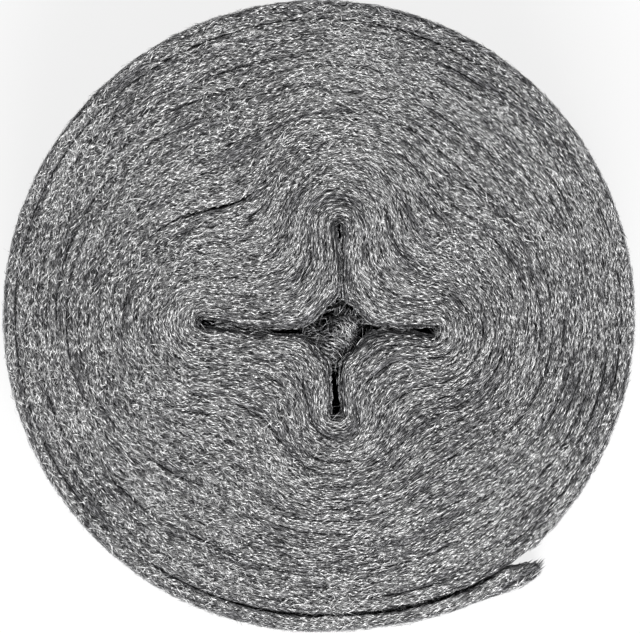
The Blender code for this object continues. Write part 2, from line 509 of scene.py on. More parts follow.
    def flow_at(self, x: np.ndarray, y: np.ndarray) -> np.ndarray:
        """Direction in which the ribbon runs at each point, in radians.

        It is square to the slope of the share, taken over a fifth of a millimetre each way.

        Args:
            x: plan coordinate from the middle of the hollow.
            y: plan coordinate from the middle of the hollow.

        Returns:
            The direction, a quarter turn to the left of outwards.
        """
        step = 0.2 * MILLIMETRE
        slope_x = self.share_at(x + step, y) - self.share_at(x - step, y)
        slope_y = self.share_at(x, y + step) - self.share_at(x, y - step)
        return np.arctan2(slope_x, -slope_y)

    def turn_at(self, x: np.ndarray, y: np.ndarray) -> tuple[np.ndarray, np.ndarray]:
        """The turn that each plain plan point lies in, and how far across it the point is.

        Args:
            x: plan coordinate from the middle of the hollow.
            y: plan coordinate from the middle of the hollow.

        Returns:
            The turn, -1 inside the first line, and the place across it from 0 to 1.
        """
        part = self.part_of(np.degrees(np.arctan2(y, x)))
        share = self.share_at(x, y)
        lines = np.stack([self.turn_share(turn, part) for turn in range(-1, self.turns + 1)])
        turn = np.clip((lines <= share).sum(axis=0) - 2, -1, self.turns - 1)
        low = np.take_along_axis(lines, (turn + 1)[None], axis=0)[0]
        high = np.take_along_axis(lines, (turn + 2)[None], axis=0)[0]
        across = (share - low) / np.maximum(high - low, 1e-6)
        return turn, np.clip(across, 0.0, 1.0)

    def even_parts(self, turn: int, longest: float, bend: float) -> np.ndarray:
        """Places along a line that are evenly spaced in the sum of its length and its bends.

        Args:
            turn: the turn that the line starts.
            longest: the longest step between places.
            bend: the largest bend between places, in degrees.

        Returns:
            Parts of a turn from the seam, from 0 up to but without 1.
        """
        even = np.arange(self.trial_rays) / self.trial_rays
        wave = np.sin(2.0 * math.pi * even)
        eased = even - self.trial_crowding * wave / (2.0 * math.pi)
        starts = np.array([slit.direction for slit in self.slits])
        spans = (np.roll(starts, -1) - starts) % 360.0
        angles = (starts[:, None] + spans[:, None] * eased[None, :]).ravel()
        parts = np.sort(self.part_of(angles))
        parts = np.concatenate(([0.0], parts[(parts > 0.0) & (parts < 1.0)], [1.0]))
        sides = np.diff(self.line(turn, parts, Side.ON_LINE), axis=0)
        lengths = np.hypot(sides[:, 0], sides[:, 1])
        headings = np.unwrap(np.arctan2(sides[:, 1], sides[:, 0]))
        effort = lengths / longest + np.abs(np.gradient(headings)) / math.radians(bend)
        total = np.concatenate(([0.0], np.cumsum(effort)))
        count = math.ceil(total[-1])
        return np.interp(np.arange(count) * total[-1] / count, total, parts)


@dataclass(frozen=True)
class EndRelief:
    """Height of an end face: each turn's edge is rounded down, and the whole is uneven."""

    groove: float = 0.4 * MILLIMETRE
    groove_change: float = 0.35
    unevenness: float = 0.55 * MILLIMETRE
    clump: float = 9.0 * MILLIMETRE
    swell: float = 1.1 * MILLIMETRE
    swell_cell: float = 30.0 * MILLIMETRE
    lip: float = 2.6 * MILLIMETRE
    lip_width: float = 2.2 * MILLIMETRE

    def height(self, x: np.ndarray, y: np.ndarray, across: np.ndarray,
               depth: np.ndarray) -> np.ndarray:
        """Height above the flat end face.

        The fourth power of the distance from the middle of the turn gives the rounded groove
        between turns, two value noises give clumps and a long swell, and an exponential of the
        depth in the winding rounds the lips of the hollow down.

        Args:
            x: placed plan coordinate.
            y: placed plan coordinate.
            across: place across the turn, from 0 to 1.
            depth: thickness of wool between each place and the hollow.

        Returns:
            The height of each place.
        """
        clumps = value_noise(x, y, self.clump, Noise.CLUMPS)
        deeper = value_noise(x, y, 2.0 * self.clump, Noise.GROOVES)
        groove = self.groove * (1.0 - self.groove_change + self.groove_change * deeper)
        edge = groove * (2.0 * across - 1.0) ** 4
        swell = self.swell * value_noise(x, y, self.swell_cell, Noise.SWELL)
        lip = self.lip * np.exp(-np.maximum(depth, 0.0) / self.lip_width)
        return self.unevenness * clumps + swell - edge - lip


# ---- Meshes


def make_mesh(name: str, vertices: np.ndarray, triangles: np.ndarray,
              smooth: bool = True) -> bpy.types.Object:
    """Puts whole arrays into a mesh object at the origin.

    Args:
        name: name of the object and its mesh.
        vertices: points, three numbers each.
        triangles: three vertex numbers each, turning so that the face looks outwards.
        smooth: whether light runs smoothly over the edges between triangles.

    Returns:
        The object, linked to the scene.
    """
    mesh = bpy.data.meshes.new(name)
    mesh.vertices.add(len(vertices))
    mesh.vertices.foreach_set("co", vertices.astype(np.float32).ravel())
    mesh.loops.add(triangles.size)
    mesh.loops.foreach_set("vertex_index", triangles.astype(np.int32).ravel())
    mesh.polygons.add(len(triangles))
    mesh.polygons.foreach_set("loop_start", np.arange(0, triangles.size, 3, dtype=np.int32))
    mesh.update(calc_edges=True)
    if smooth:
        mesh.shade_smooth()
    piece = bpy.data.objects.new(name, mesh)
    bpy.context.scene.collection.objects.link(piece)
    return piece


def grid_triangles(rows: int, columns: int) -> tuple[np.ndarray, np.ndarray]:
    """Triangles of a grid whose columns close on themselves.

    Args:
        rows: number of rows of points.
        columns: number of points round each row.

    Returns:
        Row and column of each triangle's corners; a column may equal the number of columns.
    """
    row, column = np.meshgrid(np.arange(rows - 1), np.arange(columns), indexing="ij")
    row, column = row.ravel(), column.ravel()
    corner_rows = np.stack((row, row + 1, row + 1, row, row + 1, row), axis=1)
    corner_columns = np.stack(
        (column, column, column + 1, column, column + 1, column + 1), axis=1)
    return corner_rows.reshape(-1, 3), corner_columns.reshape(-1, 3)


def capped_grid(rows: int, columns: int) -> np.ndarray:
    """Triangles of such a grid, with a fan over its first row and one over its last.

    Args:
        rows: number of rows of points.
        columns: number of points round each row.

    Returns:
        Vertex numbers: the grid's points row by row, and then the middles of the two fans.
    """
    corner_rows, corner_columns = grid_triangles(rows, columns)
    ring = np.arange(columns)
    after = (ring + 1) % columns
    count, last = rows * columns, (rows - 1) * columns
    return np.concatenate((
        corner_rows * columns + corner_columns % columns,
        np.stack((np.full(columns, count), ring, after), axis=1),
        np.stack((np.full(columns, count + 1), last + after, last + ring), axis=1)))


def set_point_values(piece: bpy.types.Object, name: str, values: np.ndarray) -> None:
    """Keeps one number for each vertex as an attribute that the finish reads."""
    layer = piece.data.attributes.new(name, "FLOAT", "POINT")
    layer.data.foreach_set("value", values.astype(np.float32))


def across_frame(along: np.ndarray) -> tuple[np.ndarray, np.ndarray]:
    """Two directions square to each strand's own: level to its right, and the one above it.

    For a strand that stands nearly upright, the first is square to the x axis instead.

    Args:
        along: direction of each strand, one long.

    Returns:
        The two directions, one long, in the same shape.
    """
    side = np.cross(along, np.array((0.0, 0.0, 1.0)))
    upright = np.linalg.norm(side, axis=-1, keepdims=True) < 0.05
    side = unit(np.where(upright, np.cross(along, np.array((1.0, 0.0, 0.0))), side))
    return side, np.cross(side, along)


def slivers(tips: np.ndarray, radii: np.ndarray,
            rolls: np.ndarray) -> tuple[np.ndarray, np.ndarray]:
    """Short straight strands, each a thin closed tetrahedron, as a shaved chip is.

    A ridge joins the two tips, and a cross edge as long as the strand is thick lies beside the
    ridge's middle, on the side that the roll gives.

    Args:
        tips: the two ends of each strand, with strand, end and coordinate as axes.
        radii: half thickness of each strand.
        rolls: how far each strand is turned about its ridge, in radians.

    Returns:
        Vertices and triangles.
    """
    side, rise = across_frame(unit(tips[:, 1] - tips[:, 0]))
    cosine, sine = np.cos(rolls)[:, None], np.sin(rolls)[:, None]
    left = -cosine * side + sine * rise
    up = cosine * rise + sine * side
    below = 0.5 * (tips[:, 0] + tips[:, 1]) - SLIVER_DEPTH * radii[:, None] * up
    edge = radii[:, None] * left
    vertices = np.stack((tips[:, 0], tips[:, 1], below + edge, below - edge), axis=1)
    pattern = np.array(((0, 1, 2), (1, 0, 3), (0, 2, 3), (1, 3, 2)))
    triangles = np.arange(len(tips))[:, None, None] * 4 + pattern[None]
    return vertices, triangles.reshape(-1, 3)


def spindles(paths: np.ndarray, radii: np.ndarray,
             rolls: np.ndarray) -> tuple[np.ndarray, np.ndarray]:
    """Bent strands, each a closed three-sided spindle along its own path.

    Between its two pointed tips a strand has a triangular ring at every point of its path,
    whose radius follows the square root of a half sine wave.

    Args:
        paths: points of each strand, with strand, point and coordinate as axes.
        radii: greatest radius of each strand.
        rolls: how far each strand's section is turned, in radians.

    Returns:
        Vertices and triangles.
    """
    count, points = paths.shape[:2]
    side, rise = across_frame(unit(np.gradient(paths, axis=1)))
    swell = np.sqrt(np.sin(math.pi * np.arange(1, points - 1) / (points - 1)))
    turn = rolls[:, None, None] + 2.0 * math.pi * np.arange(3) / 3.0
    size = (radii[:, None] * swell)[:, :, None, None]
    rings = (paths[:, 1:-1, None, :]
             + size * (np.cos(turn)[..., None] * side[:, 1:-1, None, :]
                       + np.sin(turn)[..., None] * rise[:, 1:-1, None, :]))
    vertices = np.concatenate(
        (paths[:, :1], rings.reshape(count, -1, 3), paths[:, -1:]), axis=1)
    each = vertices.shape[1]
    corner = np.arange(3)
    after = (corner + 1) % 3
    first_tip = np.stack((np.zeros(3, int), 1 + corner, 1 + after), axis=1)
    last = 1 + 3 * (points - 3)
    last_tip = np.stack((np.full(3, each - 1), last + after, last + corner), axis=1)
    ring = 1 + 3 * np.arange(points - 3)[:, None]
    low_here, low_after = ring + corner, ring + after
    high_here, high_after = low_here + 3, low_after + 3
    walls = np.concatenate((
        np.stack((low_here, high_here, high_after), axis=-1).reshape(-1, 3),
        np.stack((low_here, high_after, low_after), axis=-1).reshape(-1, 3)))
    pattern = np.concatenate((first_tip, walls, last_tip))
    triangles = np.arange(count)[:, None, None] * each + pattern[None]
    return vertices, triangles.reshape(-1, 3)


def strand_piece(name: str, paths: np.ndarray, radii: np.ndarray, tones: np.ndarray,
                 rolls: np.ndarray, material: bpy.types.Material) -> bpy.types.Object:
    """Many strands in one mesh, whose tone changes a little from point to point: painted glints.

    Args:
        name: name of the piece.
        paths: points of each strand; a path of two points makes a straight sliver.
        radii: greatest radius of each strand.
        tones: how bright each strand is, from 0 to 1.
        rolls: how far each strand is turned about itself, in radians.
        material: finish of the strands.

    Returns:
        The piece, with the tones as an attribute.
    """
    build = slivers if paths.shape[1] == 2 else spindles
    vertices, triangles = build(paths, radii, rolls)
    piece = make_mesh(name, vertices.reshape(-1, 3), triangles, smooth=False)
    count, each = vertices.shape[:2]
    by_strand, by_ring = GLINT_STEPS
    glint = np.sin(by_strand * np.arange(count)[:, None]
                   + by_ring * ((np.arange(each) + 2) // 3))
    tone = np.clip(tones[:, None] + TONE_CHANGE * glint, 0.0, 1.0)
    set_point_values(piece, "tone", tone.ravel())
    piece.data.materials.append(material)
    return piece


# ---- Finishes


def add_node(tree: bpy.types.NodeTree, kind: str, settings: Optional[dict] = None,
             links: Optional[dict] = None) -> bpy.types.Node:
    """Adds one node with its settings and its links.

    Args:
        tree: the tree that takes the node.
        kind: Blender's name of the node.
        settings: attributes by name, and input values by input name or number.
        links: input name or number to the output that feeds it.

    Returns:
        The node.
    """
    node = tree.nodes.new(kind)
    for key, value in (settings or {}).items():
        if isinstance(key, str) and hasattr(node, key):
            setattr(node, key, value)
        else:
            node.inputs[key].default_value = value
    for key, output in (links or {}).items():
        tree.links.new(output, node.inputs[key])
    return node


def new_material(name: str) -> tuple[bpy.types.Material, bpy.types.NodeTree]:
    """An empty node material with its tree.

    Args:
        name: name of the material.

    Returns:
        The material and its node tree.
    """
    material = bpy.data.materials.new(name)
    material.use_nodes = True
    material.node_tree.nodes.clear()
    return material, material.node_tree


def set_stops(ramp: bpy.types.Node, stops: tuple[tuple[float, str], ...]) -> None:
    """Gives a colour ramp its stops.

    Args:
        ramp: the colour ramp node.
        stops: place from 0 to 1 and sRGB hex colour of each stop.
    """
    elements = ramp.color_ramp.elements
    while len(elements) < len(stops):
        elements.new(1.0)
    for element, (place, colour) in zip(elements, stops):
        element.position = place
        element.color = linear(colour)


def add_surface(tree: bpy.types.NodeTree, settings: dict, links: dict) -> None:
    """Adds the shader of a whole surface, and the material's output that it feeds."""
    shader = add_node(tree, "ShaderNodeBsdfPrincipled", settings, links)
    add_node(tree, "ShaderNodeOutputMaterial", None, {"Surface": shader.outputs["BSDF"]})


@dataclass(frozen=True)
class PackedWoolFinish:
    """Packed steel wool: strands too deep or too fine to be drawn one by one.

    Carded mild steel, grey and matt because its strands shade each other. Dark and pale
    streaks run the way that the ribbon runs. They are 0.4 mm wide and 2.4 mm long, as the
    drawn strands are, because real ones of 0.1 mm wouldn't show.
    """

    name: str = "packed_steel_wool"
    streaks_per_mm: float = 2.6
    streak_stretch: float = 0.16
    stops: tuple[tuple[float, str], ...] = (
        (0.36, "#101011"), (0.50, "#3a3a3c"), (0.60, "#8c8c8e"), (0.72, "#d8d8da"))
    metallic: float = 0.7
    roughness: float = 0.5
    bump_depth: float = 0.35 * MILLIMETRE
    # Painted shade: darker stops of the same finish, for the tuft's wool deep in the hollow.
    painted_shade_stops: ClassVar[tuple[tuple[float, str], ...]] = (
        (0.36, "#0c0c0d"), (0.50, "#222224"), (0.62, "#4c4c4e"), (0.76, "#8c8c8e"))

    def make(self) -> bpy.types.Material:
        """Builds the material on the piece's own flow map, whose unit is a millimetre.

        Returns:
            The material.
        """
        material, tree = new_material(self.name)
        flow = add_node(tree, "ShaderNodeUVMap", {"uv_map": "flow"})
        stretch = add_node(
            tree, "ShaderNodeMapping",
            {"Scale": (self.streaks_per_mm * self.streak_stretch, self.streaks_per_mm, 1.0)},
            {"Vector": flow.outputs["UV"]})
        streaks = add_node(
            tree, "ShaderNodeTexNoise",
            {"Scale": 1.0, "Detail": 3.0, "Roughness": 0.65, "Distortion": 0.9},
            {"Vector": stretch.outputs["Vector"]})
        ramp = add_node(tree, "ShaderNodeValToRGB", None, {"Fac": streaks.outputs["Fac"]})
        set_stops(ramp, self.stops)
        bump = add_node(
            tree, "ShaderNodeBump", {"Strength": 0.8, "Distance": self.bump_depth},
            {"Height": streaks.outputs["Fac"]})
        add_surface(tree, {"Metallic": self.metallic, "Roughness": self.roughness},
                    {"Base Color": ramp.outputs["Color"], "Normal": bump.outputs["Normal"]})
        return material


@dataclass(frozen=True)
class StrandFinish:
    """Shaved mild steel strands: bare, bright on a fresh facet and dull grey elsewhere.

    Each strand's tone is painted light: it says how much of the strand faces the light.
    Painted glints, a noise along each strand, break the tone into bright and dull spots about
    0.6 mm long, near two pixels of the photograph, because each real facet is too fine to show.
    """

    name: str = "steel_strand"
    stops: tuple[tuple[float, str], ...] = (
        (0.0, "#404041"), (0.30, "#a4a4a6"), (0.58, "#f0f0f2"), (0.80, "#ffffff"))
    metallic: float = 0.35
    roughness: float = 0.3
    painted_glints_per_metre: float = 1800.0
    painted_glint_contrast: float = 0.9

    def make(self) -> bpy.types.Material:
        """Builds the material on the strands' tone, broken up by painted glints along each
        strand.

        Returns:
            The material.
        """
        material, tree = new_material(self.name)
        place = add_node(tree, "ShaderNodeTexCoord")
        # Painted glints: a fine noise brightens and dulls spots along each strand.
        painted_glints = add_node(
            tree, "ShaderNodeTexNoise",
            {"Scale": self.painted_glints_per_metre, "Detail": 1.0},
            {"Vector": place.outputs["Object"]})
        shift = add_node(
            tree, "ShaderNodeMath", {"operation": "MULTIPLY_ADD", 1: self.painted_glint_contrast,
                                     2: -0.5 * self.painted_glint_contrast},
            {0: painted_glints.outputs["Fac"]})
        tone = add_node(tree, "ShaderNodeAttribute", {"attribute_name": "tone"})
        total = add_node(
            tree, "ShaderNodeMath", {"operation": "ADD"},
            {0: tone.outputs["Fac"], 1: shift.outputs[0]})
        ramp = add_node(tree, "ShaderNodeValToRGB", None, {"Fac": total.outputs[0]})
        set_stops(ramp, self.stops)
        add_surface(tree, {"Metallic": self.metallic, "Roughness": self.roughness},
                    {"Base Color": ramp.outputs["Color"]})
        return material


@dataclass(frozen=True)
class PaleFloorFinish:
    """A plain pale studio floor: white to the camera, with a little of the real shade."""

    name: str = "pale_floor"
    colour: str = "#f4f4f4"
    seen_white: float = 0.82
    under_roll: float = 85.0 * MILLIMETRE
    beside_roll: float = 100.0 * MILLIMETRE

    def make(self) -> bpy.types.Material:
        """Builds the floor, whose white is seen by camera, glossy and transmission rays.

        Under the roll, where the hollow lets one see the floor, only the real light shows it.

        Returns:
            The material.
        """
        material, tree = new_material(self.name)
        matt = add_node(
            tree, "ShaderNodeBsdfPrincipled",
            {"Base Color": linear(self.colour), "Roughness": 0.9})
        white = add_node(
            tree, "ShaderNodeEmission", {"Color": (1.0, 1.0, 1.0, 1.0), "Strength": 1.0})
        rays = add_node(tree, "ShaderNodeLightPath")
        mirror_ray = add_node(
            tree, "ShaderNodeMath", {"operation": "MAXIMUM"},
            {0: rays.outputs["Is Glossy Ray"], 1: rays.outputs["Is Transmission Ray"]})
        seen = add_node(
            tree, "ShaderNodeMath", {"operation": "MAXIMUM"},
            {0: rays.outputs["Is Camera Ray"], 1: mirror_ray.outputs[0]})
        place = add_node(tree, "ShaderNodeTexCoord")
        distance = add_node(
            tree, "ShaderNodeVectorMath", {"operation": "LENGTH"},
            {0: place.outputs["Object"]})
        beside = add_node(
            tree, "ShaderNodeMapRange",
            {"From Min": self.under_roll, "From Max": self.beside_roll,
             "To Min": 0.0, "To Max": self.seen_white},
            {"Value": distance.outputs["Value"]})
        share = add_node(
            tree, "ShaderNodeMath", {"operation": "MULTIPLY"},
            {0: seen.outputs[0], 1: beside.outputs["Result"]})
        mix = add_node(
            tree, "ShaderNodeMixShader", None,
            {0: share.outputs[0], 1: matt.outputs["BSDF"], 2: white.outputs["Emission"]})
        add_node(tree, "ShaderNodeOutputMaterial", None, {"Surface": mix.outputs["Shader"]})
        return material


# ---- The ribbon


@dataclass
class RibbonBand:
    """The ribbon itself: a soft-edged band that follows the winding from end to end."""

    winding: Winding
    relief: EndRelief
    width: float
    longest_step: float = 8.0 * MILLIMETRE
    largest_bend: float = 9.5
    edge_places: tuple[float, ...] = (0.0, 0.05, 0.18, 0.5, 0.82, 0.95, 1.0)
    wall_heights: tuple[float, ...] = (0.12, 0.37, 0.63, 0.88)
    wall_wave: float = 0.3 * MILLIMETRE
    wave_cell: float = 26.0 * MILLIMETRE
    end_rounding: float = 4.0 * MILLIMETRE
    end_thickness: float = 0.1
    end_degrees: tuple[float, ...] = (8.0, 6.5, 5.2, 4.0, 3.0, 2.1, 1.3, 0.6, 0.0)
    least_part: float = 0.002

    def stations(self) -> tuple[np.ndarray, np.ndarray]:
        """Places of the band's cross-sections, close together at its tapered and free ends.

        Returns:
            Turn and part of a turn of each, from the inner end to the outer.
        """
        parts = [self.winding.even_parts(turn, self.longest_step, self.largest_bend)
                 for turn in range(self.winding.turns)]
        start = 1.0 - self.winding.inner_taper * self.winding.step_span / 360.0
        taper = np.concatenate(([start], parts[0][parts[0] > start + self.least_part]))
        near_end = 1.0 - np.array(self.end_degrees) / 360.0
        before = parts[-1] < near_end[0] - self.least_part
        parts[-1] = np.concatenate((parts[-1][before], near_end))
        every = [taper] + parts
        turns = np.concatenate(
            [np.full(len(part), turn - 1) for turn, part in enumerate(every)])
        return turns, np.concatenate(every)

    def plan(self, turns: np.ndarray,
             parts: np.ndarray) -> tuple[np.ndarray, np.ndarray, np.ndarray]:
        """Placed plan points of every cross-section's edge, on the winding's own curves.

        A point's share of the winding lies between those of the ribbon's two faces.

        Args:
            turns: turn of each cross-section.
            parts: part of a turn of each cross-section.

        Returns:
            The points, the place across the ribbon of each, and its depth in the winding.
        """
        winding = self.winding
        inner, outer = np.zeros(len(parts)), np.zeros(len(parts))
        inner_lift, outer_lift = np.zeros(len(parts)), np.zeros(len(parts))
        for turn in range(-1, winding.turns):
            here = turns == turn
            inner[here] = winding.face_share(turn, parts[here], Side.OUTSIDE)
            outer[here] = winding.face_share(turn + 1, parts[here], Side.INSIDE)
            inner_lift[here] = winding.tail_lift(turn, parts[here], Side.OUTSIDE)
            outer_lift[here] = winding.tail_lift(turn + 1, parts[here], Side.INSIDE)
        places = np.array(self.edge_places)[None, :]
        to_end = self.distance_to_end(turns, parts)[:, None]
        rounded = np.clip(to_end / self.end_rounding, 0.0, 1.0) * (1.0 - self.end_thickness)
        roundness = np.sqrt(rounded + self.end_thickness)
        across = 0.5 + (places - 0.5) * roundness
        share = inner[:, None] * (1.0 - across) + outer[:, None] * across
        lift = inner_lift[:, None] * (1.0 - across) + outer_lift[:, None] * across
        angle = np.broadcast_to(winding.angle_of(parts)[:, None], share.shape)
        radius = winding.radius(angle.ravel(), share.ravel()).reshape(share.shape) + lift
        plain = np.stack((radius * np.cos(angle), radius * np.sin(angle)), axis=-1)
        depth = winding.depth_at(share)
        return winding.placed(plain), np.broadcast_to(places, share.shape), depth

    def distance_to_end(self, turns: np.ndarray, parts: np.ndarray) -> np.ndarray:
        """Distance of each cross-section to the nearer end, along the ribbon.

        The outermost turn is a circle as wide as the roll. The innermost is taken as one of
        0.4 times the hollow's radius, because its slits are pressed nearly shut.

        Args:
            turns: turn of each cross-section.
            parts: part of a turn of each cross-section.

        Returns:
            The distances.
        """
        outer = (self.winding.turns - turns - parts) * math.pi * self.winding.diameter
        start = 1.0 - self.winding.inner_taper * self.winding.step_span / 360.0
        inner = (turns + 1 + parts - start) * 2.0 * math.pi * 0.4 * self.winding.hollow_radius
        return np.minimum(np.maximum(outer, 0.0), np.maximum(inner, 0.0))

    def build(self, material: bpy.types.Material) -> bpy.types.Object:
        """Builds the band: a closed section carried along the winding, capped at both ends.

        The section runs up the inner face, over the upper edge, down the outer face and back
        under the lower edge. Its walls wave a little, most at half height.

        Args:
            material: the finish of packed wool.

        Returns:
            The piece.
        """
        turns, parts = self.stations()
        plan, across, depth = self.plan(turns, parts)
        bulge = self.relief.height(plan[..., 0], plan[..., 1], across, depth)
        upper = np.concatenate((plan, (self.width + bulge)[..., None]), axis=-1)
        foot = self.relief.height(plan[..., 0] + LOWER_RELIEF_AWAY, plan[..., 1], across,
                                  depth)
        lower = np.concatenate((plan, np.maximum(-foot, 0.0)[..., None]), axis=-1)
        heights = np.array(self.wall_heights) * self.width
        inner_wall = self.wall(plan[:, 0], heights)
        outer_wall = self.wall(plan[:, -1], heights[::-1])
        loop = np.concatenate((inner_wall, upper, outer_wall, lower[:, ::-1]), axis=1)
        vertices = np.concatenate(
            (loop.reshape(-1, 3), loop[0].mean(axis=0)[None], loop[-1].mean(axis=0)[None]))
        piece = make_mesh("wool_ribbon", vertices, capped_grid(*loop.shape[:2]))
        self.map_flow(piece, loop)
        piece.data.materials.append(material)
        return piece

    def wall(self, edge: np.ndarray, heights: np.ndarray) -> np.ndarray:
        """Rows of points up a wall of the ribbon.

        It waves in and out with a value noise, by a half sine wave most at half height.

        Args:
            edge: placed plan points along the wall.
            heights: heights of the rows.

        Returns:
            Points, with place along the wall, row and coordinate as axes.
        """
        outward = unit(edge)
        around = np.arctan2(edge[:, 1], edge[:, 0]) * 0.5 * self.winding.diameter
        wave = value_noise(around[:, None], heights[None, :], self.wave_cell, Noise.WALLS)
        middle = np.sin(math.pi * heights / self.width)[None, :]
        moved = edge[:, None, :] + (self.wall_wave * wave * middle)[..., None] * outward[:, None]
        level = np.broadcast_to(heights[None, :, None], moved.shape[:2] + (1,))
        return np.concatenate((moved, level), axis=-1)

    def map_flow(self, piece: bpy.types.Object, loop: np.ndarray) -> None:
        """Gives the band a map in millimetres: along the ribbon, and round its section.

        Args:
            piece: the band.
            loop: its points, with cross-section, place round it and coordinate as axes.
        """
        corner_rows, corner_columns = grid_triangles(*loop.shape[:2])
        middle = loop.mean(axis=1)
        steps = np.linalg.norm(np.diff(middle, axis=0), axis=1)
        along = np.concatenate(([0.0], np.cumsum(steps))) / MILLIMETRE
        section = np.median(np.linalg.norm(np.roll(loop, -1, axis=1) - loop, axis=-1), axis=0)
        around = np.concatenate(([0.0], np.cumsum(section))) / MILLIMETRE
        corners = np.stack((along[corner_rows.ravel()], around[corner_columns.ravel()]), axis=1)
        caps = np.zeros((len(piece.data.loops) - len(corners), 2))
        layer = piece.data.uv_layers.new(name="flow")
        layer.data.foreach_set("uv", np.concatenate((corners, caps)).astype(np.float32).ravel())


# ---- Strands


@dataclass(frozen=True)
class StrandRecipe:
    """How one family of strands is drawn.

    spread is how far headings stray from the flow, in degrees, bend is a curvature per metre,
    and lift is how far the middle of a strand stands off the face that it lies on. gather is
    how many more places are tried than strands are drawn, as a share; the brightest are kept.
    """

    name: str
    count: int
    points: int
    length: float
    radius: float
    spread: float
    bend: float
    lift: float
    tone: float
    tone_spread: float
    seed: int
    roll_spread: float = 0.55
    gather: float = 0.0

    def lengths(self, rng: np.random.Generator, count: int) -> np.ndarray:
        """Lengths, spread as a logarithmic bell about the usual one."""
        scale = np.exp(rng.normal(0.0, LENGTH_SPREAD, count))
        return self.length * np.clip(scale, *LENGTH_RANGE)

    def radii(self, rng: np.random.Generator, count: int) -> np.ndarray:
        """Radii, spread as a logarithmic bell about the usual one."""
        scale = np.exp(rng.normal(0.0, RADIUS_SPREAD, count))
        return self.radius * np.clip(scale, *RADIUS_RANGE)

    def tones(self, rng: np.random.Generator, count: int) -> np.ndarray:
        """Tones, spread as a bell about the usual one."""
        return np.clip(rng.normal(self.tone, self.tone_spread, count), *TONE_RANGE)

    def along(self) -> np.ndarray:
        """Place of each point along a strand, from -1 at one end to 1 at the other."""
        return np.linspace(-1.0, 1.0, self.points)[None, :]

    def piece(self, rng: np.random.Generator, paths: np.ndarray, roll: float,
              material: bpy.types.Material,
              tones: Optional[np.ndarray] = None) -> bpy.types.Object:
        """The family's strands as one piece, with radii, tones and rolls drawn in that order.

        Args:
            rng: source of the random values.
            paths: points of each strand, with strand, point and coordinate as axes.
            roll: how far the strands are usually turned about themselves, in radians.
            material: finish of the strands.
            tones: their tones, where these have been drawn before.

        Returns:
            The piece.
        """
        count = len(paths)
        radii = self.radii(rng, count)
        if tones is None:
            tones = self.tones(rng, count)
        rolls = rng.normal(roll, self.roll_spread, count)
        return strand_piece(self.name, paths, radii, tones, rolls, material)


def bent_paths(length: np.ndarray, heading: np.ndarray, bend: np.ndarray,
               points: int) -> tuple[np.ndarray, np.ndarray]:
    """Plan of strands that are arcs: a straight run plus half its curvature times its square.

    Args:
        length: length of each strand.
        heading: direction of each strand at its middle, in radians.
        bend: curvature of each strand, per metre.
        points: points along each strand.

    Returns:
        The two coordinates of each point from the strand's middle, strand by point.
    """
    t = np.linspace(-0.5, 0.5, points)[None, :] * length[:, None]
    sag = 0.5 * bend[:, None] * t ** 2
    cosine, sine = np.cos(heading)[:, None], np.sin(heading)[:, None]
    return t * cosine - sag * sine, t * sine + sag * cosine


# A patch of painted light, or of painted shade where its tone is below 0.
@dataclass(frozen=True)
class Patch:
    """A broad soft patch of the end face: its place, its two half sizes and its tone."""

    place: tuple[float, float]
    size: tuple[float, float]
    tone: float


